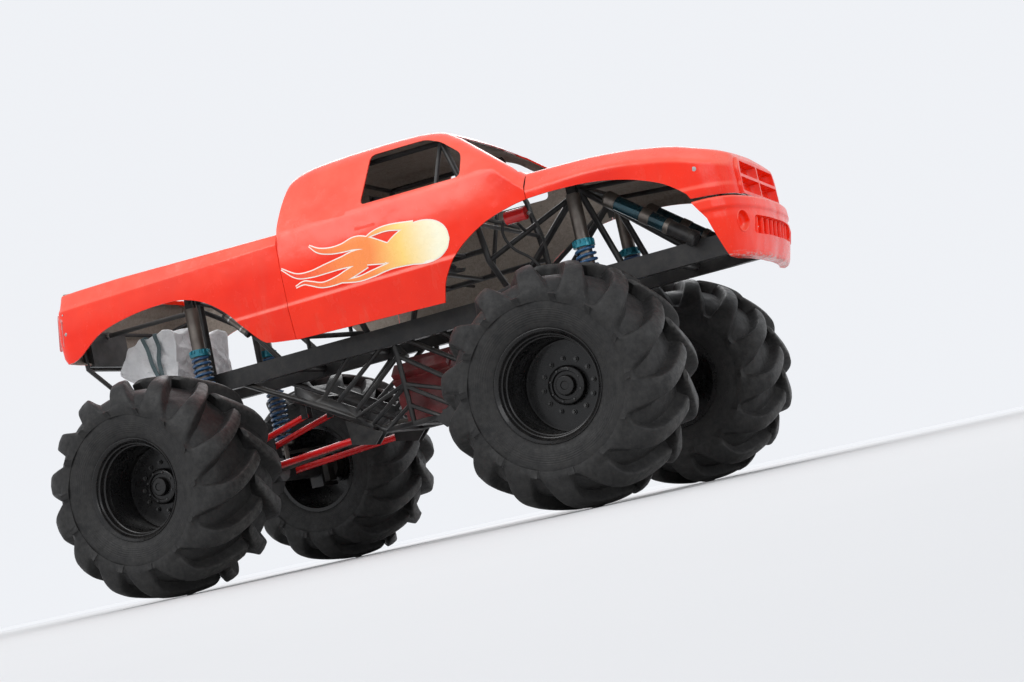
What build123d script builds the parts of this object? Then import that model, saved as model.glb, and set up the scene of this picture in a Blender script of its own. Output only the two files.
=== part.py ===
from build123d import *
import math
import os

# Millimetres. +X is the truck's front, +Y its left side, +Z up, Z 0 the ground.

# Flats on round work
TUBE_SIDES = 6
DRUM_SIDES = 10
PIN_SIDES = 12
TYRE_SIDES = 20
RIM_SIDES = 20

# Wheels and axles
WHEELBASE = 3360.0
REAR_X = -1775.0
FRONT_X = REAR_X + WHEELBASE
WHEEL_Y = 1286.0
TYRE_R = 838.0
TYRE_HALF = 462.0
LUG_COUNT = 14
LUG_HALF = 54.0
LUG_SLANT = 26.0
LUG_TOP = TYRE_R - 2.0
AXLE_Z = LUG_TOP
RIM_R = 360.0
RIM_HALF = 413.0
RIM_WALL = 12.0
RIM_GAP = 1.0
RIM_STEP = 14.0
RIM_STEP_LONG = 45.0
FLANGE_R = 395.0
FLANGE_T = 10.0
BEAD_Y = RIM_HALF - FLANGE_T - 11.0
DISC_Y = 1300.0
DISC_T = 16.0
HUB_R = 135.0
HUB_FACE_Y = 1374.0
HUB_BACK_Y = 1225.0
CAP_R = 68.0
CAP_T = 24.0
SPINDLE_R = 60.0
SPINDLE_END_Y = 1330.0
SPINDLE_GAP = 1.5

# Steering
KINGPIN_Y = 1060.0
KINGPIN_R = 26.0
KINGPIN_GAP = 1.0
YOKE_PLATE_Z = 130.0
YOKE_PLATE_T = 35.0
YOKE_HALF_X = 60.0
YOKE_WEB_Y = 860.0
YOKE_WEB_T = 40.0
YOKE_END_Y = KINGPIN_Y + 50.0
KNUCKLE_HALF = YOKE_PLATE_Z - 8.0
ARM_X = 200.0
ARM_IN = 270.0
ARM_Z = YOKE_PLATE_Z + YOKE_PLATE_T + 8.0
ARM_T = 26.0
ARM_EYE_R = 38.0
EYE_GAP = 6.0
EYE_T = 24.0
ROD_R = 20.0
ROD_GAP = 2.0
RAM_R = 44.0
RAM_HALF = 240.0
RAM_Z = ARM_Z + ARM_T + EYE_GAP + EYE_T / 2

# Frame rails
RAIL_OUT_Y = 400.0
RAIL_W = 75.0
RAIL_TOP = 1685.0
RAIL_H = 150.0
RAIL_REAR_X = REAR_X - 925.0
RAIL_FRONT_X = FRONT_X + 1090.0
RAIL_MID_Y = RAIL_OUT_Y - RAIL_W / 2
RAIL_MID_Z = RAIL_TOP - RAIL_H / 2
RAIL_SINK = 10.0
RAIL_LAND = RAIL_TOP - RAIL_SINK
RAIL_UNDER = RAIL_TOP - RAIL_H + RAIL_SINK
CROSS_R = 38.0
CROSS_X = (RAIL_REAR_X + 40.0, -2235.0, -1180.0, -560.0, 640.0, 1180.0, 2150.0, RAIL_FRONT_X - 45.0)
TOW_PLATE_T = 20.0
TOW_HOLE_R = 20.0

# Belly cage
MID_X = -125.0
KEEL_HALF = 250.0
KEEL_Y = 300.0
KEEL_Z = 920.0
LINK_Y = 362.0
LINK_R = 27.0
LINK_GAP = 3.0
LUG_PLATE = 14.0
LOWER_REACH = 446.0
LOWER_Z = 905.0
UPPER_REACH = 985.0
UPPER_Z = 1200.0
UPPER_Y = 200.0
UPPER_R = 26.0
EAR_IN = 34.0
EAR_T = 10.0

# Drive shafts
SHAFT_Z = 972.0
SHAFT_BEARING_X = -450.0
CRANK_Z = 1130.0

# Shocks
SHOCK_Y = 500.0
SHOCK_FRONT_X = FRONT_X + 30.0
SHOCK_REAR_X = REAR_X - 20.0
SHOCK_LOW_Z = AXLE_Z + 112.0
SHOCK_TOP_Z = 2240.0
SHOCK_EYE_TOP = 2272.0
COLLAR_Z = 1840.0
COLLAR_T = 60.0
COLLAR_R = 84.0
SHOCK_TUBE_R = 55.0
SPRING_R = 80.0
SPRING_WIRE = 14.0
SPRING_LOW_Z = 1090.0
SHAFT_R = 24.0
TOWER_Z = 2308.0
TOWER_R = 29.0

# Cage in the cab
HOOP_X = -330.0
CAGE_Y = 600.0
SILL_Z = 2000.0

# Shell
PANEL = 14.0
SEAM = 5.0
RECESS = 5.0
BED_FRONT_X = -670.0
CAB_FRONT_X = FRONT_X - 180.0
NOSE_X = FRONT_X + 1265.0
BODY_HALF = 900.0
CREASE_Z = 1960.0
TUCK = 45.0
TAIL_X = REAR_X - 1150.0

# Edges of the shell as seen from the side
BED_TOP = ((-2810.0, 2588.0), (-2200.0, 2585.0), (BED_FRONT_X, 2535.0))
TAIL = (
    (TAIL_X + 110.0, 2585.0),
    (TAIL_X + 20.0, 2380.0),
    (TAIL_X, 2230.0),
    (TAIL_X + 20.0, 2060.0),
    (TAIL_X + 85.0, 2020.0),
)
REAR_ARCH = (
    (-2735.0, 2018.0),
    (-2635.0, 2056.0),
    (-2405.0, 2190.0),
    (-2061.0, 2255.0),
    (-1738.0, 2265.0),
    (-1553.0, 2240.0),
    (-1381.0, 2170.0),
    (-1222.0, 2050.0),
    (-1099.0, 1914.0),
    (-977.0, 1778.0),
    (-905.0, 1740.0),
    (BED_FRONT_X, 1708.0),
)
# Front arch as distances from the front axle: behind the cab's front edge, then ahead of it
CAB_ARCH = (
    (FRONT_X - 980.0, 1672.0),
    (FRONT_X - 920.0, 1840.0),
    (FRONT_X - 770.0, 2015.0),
    (FRONT_X - 540.0, 2145.0),
    (FRONT_X - 320.0, 2205.0),
)
CLIP_ARCH = (
    (CAB_FRONT_X, 2225.0),
    (FRONT_X + 30.0, 2226.0),
    (FRONT_X + 320.0, 2206.0),
    (FRONT_X + 580.0, 2150.0),
    (FRONT_X + 790.0, 2068.0),
    (FRONT_X + 890.0, 2002.0),
    (FRONT_X + 965.0, 1935.0),
    (FRONT_X + 975.0, 1905.0),
)
CAB_TOP = (
    (BED_FRONT_X, 2535.0),
    (-655.0, 2700.0),
    (-600.0, 2920.0),
    (-500.0, 3010.0),
    (-200.0, 3040.0),
    (360.0, 3030.0),
    (720.0, 2985.0),
    (900.0, 2880.0),
    (CAB_FRONT_X, 2440.0),
)
WINDOW = (
    (75.0, 2558.0),
    (172.0, 2935.0),
    (640.0, 2920.0),
    (775.0, 2860.0),
    (945.0, 2715.0),
    (925.0, 2535.0),
)
QUARTER = ((-565.0, 2562.0), (-434.0, 2872.0), (-325.0, 2965.0), (35.0, 2958.0), (-52.0, 2512.0))
HANDLE = ((12.0, 2372.0), (12.0, 2396.0), (188.0, 2390.0), (188.0, 2366.0))
TAIL_LAMP = ((-2866.0, 2449.0), (-2781.0, 2383.0), (-2809.0, 2155.0), (-2901.0, 2141.0))
LAMP_PROUD = 8.0


# Building blocks
def prism_y(points, low, high):
    loop = Polyline(*[(x, low, z) for x, z in points], close=True)
    return extrude(make_face(loop), amount=high - low, dir=(0, 1, 0))


def prism_z(points, low, high):
    loop = Polyline(*[(x, y, low) for x, y in points], close=True)
    return extrude(make_face(loop), amount=high - low, dir=(0, 0, 1))


def prism_x(points, low, high):
    loop = Polyline(*[(low, y, z) for y, z in points], close=True)
    return extrude(make_face(loop), amount=high - low, dir=(1, 0, 0))


def block(x, y, z):
    size = (x[1] - x[0], y[1] - y[0], z[1] - z[0])
    centre = (sum(x) / 2, sum(y) / 2, sum(z) / 2)
    return Pos(*centre) * Box(*size)


def rod(start, end, radius, sides=DRUM_SIDES):
    direction = Vector(*end) - Vector(*start)
    plane = Plane(origin=start, z_dir=direction)
    return extrude(plane * RegularPolygon(radius, sides), amount=direction.length)


def round_rod(start, end, radius):
    direction = Vector(*end) - Vector(*start)
    plane = Plane(origin=start, z_dir=direction)
    return extrude(plane * Circle(radius), amount=direction.length)


def around(radius, sides):
    return radius / math.cos(math.pi / sides)


def strut(start, end, radius):
    a = Vector(*start)
    b = Vector(*end)
    past = (b - a).normalized() * (radius * 0.5)
    return rod(tuple(a - past), tuple(b + past), radius, TUBE_SIDES)


def bent_tube(points, radius, sides=TUBE_SIDES):
    path = Polyline(*points)
    plane = Plane(origin=points[0], z_dir=Vector(*points[1]) - Vector(*points[0]))
    return sweep(plane * RegularPolygon(radius, sides), path=path, transition=Transition.RIGHT)


def fuse(shapes):
    whole = shapes[0]
    for shape in shapes[1:]:
        whole = whole + shape
    return whole


def mirrored(points):
    return list(points) + [(-y, z) for y, z in reversed(points)]


def both_sides(shape):
    return [shape, mirror(shape, about=Plane.XZ)]


def flat(points):
    return make_face(Polyline(*points, close=True))


def ring_points(radius, y, sides):
    turn = 2 * math.pi / sides
    angles = [(i + 0.5) * turn for i in range(sides)]
    return [(radius * math.cos(angle), y, radius * math.sin(angle)) for angle in angles]


def band(low, high):
    faces = []
    for i in range(len(low)):
        j = (i + 1) % len(low)
        faces.append(flat([low[i], low[j], high[j], high[i]]))
    return faces


def polygon_drum(profile, sides):
    rings = [ring_points(radius, y, sides) for y, radius in profile]
    faces = [flat(rings[0]), flat(rings[-1])]
    for low, high in zip(rings, rings[1:]):
        faces += band(low, high)
    return Solid(Shell(faces))


def polygon_ring(profile, sides):
    rings = [ring_points(radius, y, sides) for y, radius in profile]
    faces = []
    for low, high in zip(rings, rings[1:] + rings[:1]):
        faces += band(low, high)
    return Solid(Shell(faces))


def save(name, shapes):
    parts = shapes if isinstance(shapes, list) else [shapes]
    solids = [solid for shape in parts for solid in shape.solids()]
    body = solids[0] if len(solids) == 1 else Compound(solids)
    body.label = name
    export_step(body, os.path.join("parts", name + ".step"))


# Tyres and rims
def lug(side, turn):
    stretch = 1 / math.cos(math.radians(LUG_SLANT))
    outline = (
        # from the middle of the tread, radius
        (-42.0, LUG_TOP - 146.0),
        (-42.0, LUG_TOP),
        (TYRE_HALF - 149.0, LUG_TOP - 24.0),
        (TYRE_HALF - 3.0, LUG_TOP - 196.0),
        (TYRE_HALF - 23.0, LUG_TOP - 296.0),
    )
    bar = prism_x([(y * stretch, radius) for y, radius in outline], -LUG_HALF, LUG_HALF)
    bar = Rot(0, 0, LUG_SLANT) * bar
    if side < 0:
        bar = mirror(bar, about=Plane.XZ)
    return Rot(0, turn, 0) * bar


def tyre():
    half = ((TYRE_HALF - 132.0, LUG_TOP - 64.0), (TYRE_HALF, LUG_TOP - 236.0), (BEAD_Y, RIM_R + RIM_GAP))
    profile = [(-y, radius) for y, radius in reversed(half)] + list(half)
    carcass = polygon_drum(profile, TYRE_SIDES)
    seat = RIM_R + RIM_GAP
    bore = polygon_drum([(-BEAD_Y - 9, seat), (BEAD_Y + 9, seat)], RIM_SIDES)
    pitch = 360.0 / LUG_COUNT
    lugs = [lug(1, pitch * n) for n in range(LUG_COUNT)]
    lugs += [lug(-1, pitch * (n + 0.5)) for n in range(LUG_COUNT)]
    return Pos(0, WHEEL_Y, 0) * ((carcass - bore).fuse(*lugs))


def rim():
    inner = RIM_R - RIM_WALL
    lip = RIM_HALF - FLANGE_T
    disc = DISC_Y - WHEEL_Y
    first = RIM_HALF - RIM_STEP_LONG
    second = first - RIM_STEP_LONG
    barrel = polygon_ring([
        (-RIM_HALF, inner),
        (-RIM_HALF, FLANGE_R),
        (-lip, RIM_R),
        (lip, RIM_R),
        (RIM_HALF, FLANGE_R),
        (RIM_HALF, inner),
        (first, inner),
        (first, inner - RIM_STEP),
        (second, inner - RIM_STEP),
        (second, inner - 2 * RIM_STEP),
        (disc + DISC_T, inner - 2 * RIM_STEP),
        (disc + DISC_T, HUB_R - 30),
        (disc, HUB_R - 30),
        (disc, inner),
    ], RIM_SIDES)
    back = HUB_BACK_Y - WHEEL_Y
    face = HUB_FACE_Y - WHEEL_Y
    hub = polygon_drum([(back, HUB_R), (face - 20, HUB_R), (face, HUB_R - 16)], DRUM_SIDES)
    groove_profile = [
        (face - 16, CAP_R),
        (face - 16, CAP_R + 30),
        (face + 1, CAP_R + 30),
        (face + 1, CAP_R),
    ]
    groove = polygon_ring(groove_profile, DRUM_SIDES)
    cap_profile = [(face - 20, CAP_R), (face + CAP_T - 8, CAP_R), (face + CAP_T, CAP_R - 14)]
    cap = polygon_drum(cap_profile, DRUM_SIDES)
    end = SPINDLE_END_Y - WHEEL_Y + 6
    bore_r = around(SPINDLE_R + SPINDLE_GAP, PIN_SIDES)
    bore = polygon_drum([(back - 1, bore_r), (end, bore_r)], PIN_SIDES)
    return Pos(0, WHEEL_Y, 0) * (barrel + (hub - groove + cap) - bore)


# Axles, knuckles and steering
def yoke():
    low = YOKE_PLATE_Z
    high = low + YOKE_PLATE_T
    half = (-YOKE_HALF_X, YOKE_HALF_X)
    web = block(half, (YOKE_WEB_Y, YOKE_WEB_Y + YOKE_WEB_T), (-high, high))
    hole_r = around(KINGPIN_R + KINGPIN_GAP, PIN_SIDES)
    plates = []
    for z in (low, -high):
        plate = block(half, (YOKE_WEB_Y, YOKE_END_Y), (z, z + YOKE_PLATE_T))
        hole = rod((0, KINGPIN_Y, z - 1), (0, KINGPIN_Y, z + YOKE_PLATE_T + 1), hole_r, PIN_SIDES)
        plates.append(plate - hole)
    return fuse([web] + plates)


def link_ears(front):
    ears = []
    for y in (LINK_Y - EAR_IN - EAR_T, LINK_Y + EAR_IN):
        ears.append(block(sorted((0, -front * 140)), (y, y + EAR_T), (-48, 42)))
    for y in (UPPER_Y - EAR_IN - EAR_T, UPPER_Y + EAR_IN):
        ears.append(block(sorted((-front * 25, -front * 95)), (y, y + EAR_T), (20, 245)))
    return ears


def axle(x, front):
    beam = rod((0, -YOKE_WEB_Y - 2, 0), (0, YOKE_WEB_Y + 2, 0), 78.0)
    bowl = rod((-front * 110, 0, 0), (front * 120, 0, 0), 205.0, PIN_SIDES)
    cover = rod((front * 110, 0, 0), (front * 150, 0, 0), 150.0)
    nose = rod((-front * 230, 0, 0), (-front * 100, 0, 0), 95.0)
    pieces = [beam, bowl, cover, nose]
    pieces += both_sides(yoke())
    for ear in link_ears(front):
        pieces += both_sides(ear)
    pad_x = SHOCK_FRONT_X - FRONT_X if front > 0 else SHOCK_REAR_X - REAR_X
    pad = block((pad_x - 55, pad_x + 55), (SHOCK_Y - 50, SHOCK_Y + 50), (40, SHOCK_LOW_Z - AXLE_Z - 2))
    pieces += both_sides(pad)
    stay = block((front * ARM_X - 20, front * ARM_X + 20), (95, 135), (-30, RAM_Z - RAM_R + 10))
    foot = block(sorted((0, front * ARM_X)), (96, 134), (-28, 30))
    pieces += both_sides(fuse([stay, foot]))
    ram_seat = rod((front * ARM_X, -RAM_HALF - 5, RAM_Z), (front * ARM_X, RAM_HALF + 5, RAM_Z), RAM_R)
    return Pos(x, 0, AXLE_Z) * (fuse(pieces) - ram_seat)


def ram(x, front):
    z = AXLE_Z + RAM_Z
    place = x + front * ARM_X
    outer = rod((place, -RAM_HALF, z), (place, RAM_HALF, z), RAM_R)
    bore_r = around(ROD_R + ROD_GAP, DRUM_SIDES)
    return outer - rod((place, -RAM_HALF - 1, z), (place, RAM_HALF + 1, z), bore_r)


def steer_rod(x, front):
    z = AXLE_Z + ARM_Z + ARM_T + EYE_GAP
    place = x + front * ARM_X
    reach = KINGPIN_Y - ARM_IN
    bar = rod((place, -reach, z + EYE_T / 2), (place, reach, z + EYE_T / 2), ROD_R)
    trim = block((place - 60, place + 60), (-reach - 60, reach + 60), (z, z + EYE_T))
    ends = block((place - 60, place + 60), (-reach + 60, reach - 60), (z - 30, z + 60))
    eyes = [rod((place, s * reach, z), (place, s * reach, z + EYE_T), ARM_EYE_R) for s in (-1, 1)]
    return fuse([bar & (trim + ends)] + eyes)


def knuckle(x, side, front):
    post = block((-52, 52), (-58, 58), (-KNUCKLE_HALF, KNUCKLE_HALF))
    pin_low = -YOKE_PLATE_Z - YOKE_PLATE_T - 4
    pin = rod((0, 0, pin_low), (0, 0, ARM_Z + 4), KINGPIN_R, PIN_SIDES)
    spindle = rod((0, 0, 0), (0, SPINDLE_END_Y - KINGPIN_Y, 0), SPINDLE_R, PIN_SIDES)
    shoulder = rod((0, 40, 0), (0, HUB_BACK_Y - KINGPIN_Y - 8, 0), 100.0)
    arm_points = [
        (-front * 45, 45),
        (front * 45, 45),
        (front * (ARM_X + 32), -ARM_IN),
        (front * (ARM_X - 36), -ARM_IN),
    ]
    arm = prism_z(arm_points, ARM_Z, ARM_Z + ARM_T)
    eye = rod((front * ARM_X, -ARM_IN, ARM_Z), (front * ARM_X, -ARM_IN, ARM_Z + ARM_T), ARM_EYE_R)
    whole = fuse([post, pin, spindle, shoulder, arm, eye])
    if side < 0:
        whole = mirror(whole, about=Plane.XZ)
    return Pos(x, side * KINGPIN_Y, AXLE_Z) * whole


# Frame
def frame_rails():
    pieces = []
    for side in (-1, 1):
        y = sorted((side * RAIL_OUT_Y, side * (RAIL_OUT_Y - RAIL_W)))
        pieces.append(block((RAIL_REAR_X, RAIL_FRONT_X), y, (RAIL_TOP - RAIL_H, RAIL_TOP)))
    reach = RAIL_OUT_Y - RAIL_W + 5
    for x in CROSS_X:
        pieces.append(rod((x, -reach, RAIL_MID_Z), (x, reach, RAIL_MID_Z), CROSS_R))
    return fuse(pieces)


def over_middle(point):
    return (2 * MID_X - point[0], point[1], point[2])


def belly_cage():
    keel = (MID_X - KEEL_HALF, KEEL_Y, KEEL_Z)
    knee = (MID_X - UPPER_REACH + 11.0, 340.0, 1332.0)
    half = [
        # start, end, radius of each tube behind the middle upright
        (keel, (MID_X, KEEL_Y, KEEL_Z), 22.0),
        ((MID_X, KEEL_Y, KEEL_Z), (MID_X, RAIL_MID_Y, RAIL_UNDER), 21.0),
        (keel, knee, 26.0),
        (knee, (MID_X - UPPER_REACH - 400.0, RAIL_MID_Y, RAIL_UNDER), 24.0),
        ((MID_X - 722.0, 330.0, 1285.0), (MID_X - 414.0, RAIL_MID_Y, RAIL_UNDER), 20.0),
        ((MID_X - 592.0, 328.0, 1235.0), (MID_X - 122.0, RAIL_MID_Y, RAIL_UNDER), 20.5),
        ((MID_X - 455.0, 324.0, 1128.0), (MID_X - 5, 345.0, 1449.0), 20.0),
        ((MID_X - 468.0, 322.0, 1072.0), (MID_X - 4, 331.0, 1228.0), 17.0),
        ((MID_X - 339.0, 314.0, 995.0), (MID_X - 3, 328.0, 1212.0), 18.5),
        ((MID_X - 226.0, 304.0, 930.0), (MID_X - 2, 314.0, 1062.0), 18.0),
    ]
    tubes = [strut(a, b, radius) for a, b, radius in half]
    tubes += [strut(over_middle(a), over_middle(b), radius) for a, b, radius in half[:1] + half[2:]]
    inner_y = LINK_Y - LINK_R - LINK_GAP - LUG_PLATE
    outer_y = LINK_Y + LINK_R + LINK_GAP
    gusset_line = [(-952, 1424), (-435, 1132), (-395, 1010), (-495, 1040), (-965, 1310)]
    gusset = prism_y([(MID_X + x, z) for x, z in gusset_line], inner_y, inner_y + LUG_PLATE)
    low_x = MID_X - LOWER_REACH
    bracket_line = [(-89, 1060), (212, 905), (129, 822), (-71, 862)]
    bracket = prism_y([(low_x + x, z) for x, z in bracket_line], inner_y, inner_y + LUG_PLATE)
    outer = Pos(0, outer_y - inner_y, 0) * bracket
    tab = block((low_x + 11, low_x + 141), (inner_y, outer_y + LUG_PLATE), (945, 960))
    plates = fuse([gusset, bracket, outer, tab])
    middle = Plane.YZ.offset(MID_X)
    side = fuse(tubes + [plates, mirror(plates, about=middle)])
    cross = []
    for x in (-KEEL_HALF, 0, KEEL_HALF):
        cross.append(rod((MID_X + x, -KEEL_Y, KEEL_Z), (MID_X + x, KEEL_Y, KEEL_Z), 23.0, TUBE_SIDES))
    for end in (-1, 1):
        x = MID_X + end * UPPER_REACH
        cross.append(rod((x, -345, 1335), (x, 345, 1335), 23.0, TUBE_SIDES))
        for y in (-UPPER_Y, UPPER_Y):
            for ear in (-EAR_IN - EAR_T, EAR_IN):
                cross.append(block((x - 28, x + 28), (y + ear, y + ear + EAR_T), (UPPER_Z - 30, 1335)))
    return fuse(both_sides(side) + cross)


def links():
    shapes = []
    for axle_x, end in ((REAR_X, -1), (FRONT_X, 1)):
        low_x = MID_X + end * LOWER_REACH
        lower = rod((axle_x - end * 105, LINK_Y, AXLE_Z - 10), (low_x, LINK_Y, LOWER_Z), LINK_R, TUBE_SIDES)
        high_x = MID_X + end * UPPER_REACH
        upper_start = (axle_x - end * 60, UPPER_Y, AXLE_Z + 215)
        upper = rod(upper_start, (high_x, UPPER_Y, UPPER_Z), UPPER_R, TUBE_SIDES)
        shapes += both_sides(lower) + both_sides(upper)
    return shapes


# Shock absorbers
def shock_places():
    return [(x, side * SHOCK_Y) for x in (SHOCK_REAR_X, SHOCK_FRONT_X) for side in (-1, 1)]


def shock_tubes():
    shapes = []
    for x, y in shock_places():
        upper = rod((x, y, SPRING_LOW_Z + 250), (x, y, SHOCK_TOP_Z), SHOCK_TUBE_R)
        shaft = rod((x, y, SHOCK_LOW_Z), (x, y, SPRING_LOW_Z + 260), SHAFT_R, TUBE_SIDES)
        cup = rod((x, y, SPRING_LOW_Z - 20), (x, y, SPRING_LOW_Z), SPRING_R)
        eye = block((x - 22, x + 22), (y - 16, y + 16), (SHOCK_TOP_Z - 5, SHOCK_EYE_TOP))
        shapes.append(fuse([upper, shaft, cup, eye]))
    return shapes


def shock_collars():
    shapes = []
    for x, y in shock_places():
        ring = rod((x, y, COLLAR_Z), (x, y, COLLAR_Z + COLLAR_T), COLLAR_R)
        shapes.append(ring - rod((x, y, COLLAR_Z - 1), (x, y, COLLAR_Z + COLLAR_T + 1), SHOCK_TUBE_R + 1))
    return shapes


def springs():
    shapes = []
    for x, y in shock_places():
        sleeve = rod((x, y, SPRING_LOW_Z + 1), (x, y, COLLAR_Z - 1), SPRING_R)
        core = rod((x, y, SPRING_LOW_Z), (x, y, COLLAR_Z), SPRING_R - SPRING_WIRE)
        shapes.append(sleeve - core)
    return shapes


def tower_head(x):
    reach = SHOCK_Y + 40
    head = [rod((x, -reach, TOWER_Z), (x, reach, TOWER_Z), TOWER_R, TUBE_SIDES)]
    for ear in (-28, 18):
        plate = block((x - 35, x + 35), (SHOCK_Y + ear, SHOCK_Y + ear + 10), (SHOCK_TOP_Z + 5, TOWER_Z))
        head += both_sides(plate)
    return head


def tower_front():
    x = SHOCK_FRONT_X
    top = (x, RAIL_MID_Y, TOWER_Z - 8)
    legs = [
        # foot of each leg ahead of the shock, radius
        (-654.0, 27.0),
        (205.0, 25.0),
        (691.0, 26.0),
    ]
    side = [strut(top, (x + ahead, RAIL_MID_Y, RAIL_LAND), radius) for ahead, radius in legs]
    side.append(strut((x - 15, RAIL_MID_Y, TOWER_Z - 40), (x - 715, CAGE_Y - 15, SILL_Z - 75), 21.0))
    nose = [
        (x, RAIL_MID_Y, TOWER_Z - 18),
        (x + 615, RAIL_MID_Y, 2232.0),
        (x + 1020, RAIL_MID_Y, 2150.0),
        (x + 1020, RAIL_MID_Y, RAIL_LAND),
    ]
    side.append(bent_tube(nose, 19.0))
    bracket = strut((x - 420, -494, 2075), (x - 420, -610, 2122), 12.0)
    return fuse(tower_head(x) + both_sides(fuse(side)) + [bracket])


REAR_BRACE = (
    # distance ahead of the shock, height
    (0.0, 2290.0),
    (123.0, 2238.0),
    (256.0, 2129.0),
    (449.0, 1918.0),
    (569.0, 1770.0),
    (643.0, RAIL_LAND),
)


def tower_rear():
    x = SHOCK_REAR_X
    post = rod((x, RAIL_MID_Y, RAIL_LAND), (x, RAIL_MID_Y, TOWER_Z), 30.0, TUBE_SIDES)
    pair = [post]
    for y in (RAIL_MID_Y - 19, RAIL_MID_Y + 20):
        pair.append(bent_tube([(x + along, y, z) for along, z in REAR_BRACE], 17.0))
    return fuse(tower_head(x) + both_sides(fuse(pair)))


def reservoirs():
    front_y = RAIL_OUT_Y + 65
    x = SHOCK_FRONT_X
    parts = []
    shape = ((0.0, 60.0), (0.13, 60.0), (0.13, 54.0), (0.94, 54.0), (0.94, 60.0), (1.0, 60.0))
    start = Vector(x + 228, front_y, 2153)
    end = Vector(x + 819, front_y, 1679)
    for (a, radius), (b, _) in zip(shape[::2], shape[1::2]):
        parts.append(rod(tuple(start + (end - start) * a), tuple(start + (end - start) * b), radius))
    shapes = both_sides(fuse(parts))
    x = SHOCK_REAR_X
    rear_y = RAIL_MID_Y + 20 + 17 + 32
    rear = rod((x + 256, rear_y, 2129), (x + 449, rear_y, 1918), 30.0)
    return shapes + both_sides(rear)


# Roll cage, seat and controls
def roll_cage():
    roof_z = 2930.0
    hoop = [
        (HOOP_X, RAIL_MID_Y, RAIL_LAND),
        (HOOP_X, CAGE_Y, SILL_Z),
        (HOOP_X, 560.0, roof_z),
    ]
    leg = [
        (FRONT_X - 655.0, RAIL_MID_Y, RAIL_LAND),
        (FRONT_X - 685.0, CAGE_Y - 6, SILL_Z - 75),
        (828.0, 585.0, 2500.0),
        (705.0, 546.0, 2896.0),
    ]
    side = [
        bent_tube(hoop, 24.0),
        bent_tube(leg, 23.0),
        strut((HOOP_X, 560, roof_z - 4), (705, 546, 2898), 21.0),
        strut((HOOP_X, CAGE_Y, SILL_Z), (FRONT_X - 697, CAGE_Y - 7, SILL_Z + 12), 22.0),
        strut((690, 548, 2888), (395, CAGE_Y - 3, SILL_Z + 6), 19.0),
        rod((100, CAGE_Y, SILL_Z + 4), (100, BODY_HALF - TUCK - PANEL - 3, SILL_Z + 4), 15.0, TUBE_SIDES),
        rod((720, CAGE_Y, SILL_Z + 8), (720, BODY_HALF - TUCK - PANEL - 3, SILL_Z + 8), 15.0, TUBE_SIDES),
    ]
    tubes = fuse(side)
    cross = [
        rod((HOOP_X, -560, roof_z - 8), (HOOP_X, 560, roof_z - 8), 20.0, TUBE_SIDES),
        rod((702, -546, 2890), (702, 546, 2890), 19.0, TUBE_SIDES),
        rod((866, -590, 2214), (866, 590, 2214), 17.0, TUBE_SIDES),
        rod((HOOP_X, -CAGE_Y, SILL_Z - 4), (HOOP_X, CAGE_Y, SILL_Z - 4), 19.0, TUBE_SIDES),
        rod((0, -CAGE_Y, SILL_Z + 2), (0, CAGE_Y, SILL_Z + 2), 17.0, TUBE_SIDES),
        rod((300, -CAGE_Y, SILL_Z + 2), (300, CAGE_Y, SILL_Z + 2), 17.5, TUBE_SIDES),
    ]
    brace = strut((HOOP_X, -565, 2880), (HOOP_X, 585, 2040), 18.0)
    return fuse(both_sides(tubes) + cross + [brace])


def seat():
    floor = SILL_Z + 24
    base = prism_y([(-130, floor), (330, floor), (340, floor + 110), (-90, floor + 60)], -225, 225)
    back = prism_y([(-130, floor + 20), (-60, floor + 20), (-150, 2640), (-215, 2640)], -225, 225)
    bolster = [
        (-150, floor + 20),
        (250, floor + 60),
        (200, floor + 170),
        (30, floor + 200),
        (-30, 2480),
        (-190, 2520),
    ]
    sides = prism_y(bolster, 190, 240)
    head = prism_y([(-208, 2630), (-148, 2630), (-160, 2790), (-215, 2790)], -120, 120)
    return fuse([base, back, head] + both_sides(sides))


def steering_wheel():
    ring = polygon_ring([(-13, 158), (0, 150), (13, 158), (13, 178), (0, 186), (-13, 178)], PIN_SIDES)
    hub = polygon_drum([(-24, 34), (18, 34)], DRUM_SIDES)
    column = polygon_drum([(-450, 17), (-20, 17)], TUBE_SIDES)
    spokes = [Rot(0, turn, 0) * Pos(86, 0, 0) * Box(150, 9, 26) for turn in (90, 210, 330)]
    wheel = Rot(90, 0, 0) * fuse([ring, hub, column] + spokes)
    return Pos(560, 0, 2420) * (Rot(0, -62, 0) * wheel)


# Engine and driveline
def engine():
    rear = MID_X - 156.0
    front = MID_X + 381.0
    crank = block((rear, front), (-160, 160), (1012, 1255))
    sump = block((rear + 40, front - 80), (-175, -42), (945, 1030))
    intake = prism_x([(-95, 1240), (95, 1240), (70, 1452), (-70, 1452)], rear + 70, front - 70)
    pulley = rod((rear - 52, 0, CRANK_Z), (rear + 2, 0, CRANK_Z), 78.0)
    belt_wheel = rod((rear - 48, 0, 1290), (rear + 2, 0, 1290), 62.0)
    neck = block((rear - 8, rear + 60), (-45, 45), (1240, 1330))
    pieces = [crank, sump, intake, pulley, belt_wheel, neck]
    middle = (rear + front) / 2
    for side in (-1, 1):
        lean = Pos(middle, 0, CRANK_Z) * Rot(-side * 45, 0, 0)
        pieces.append(lean * Pos(0, 0, 185) * Box(front - rear - 30, 165, 190))
        pieces.append(lean * Pos(0, 0, 300) * Box(front - rear - 50, 120, 60))
    return fuse(pieces)


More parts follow.
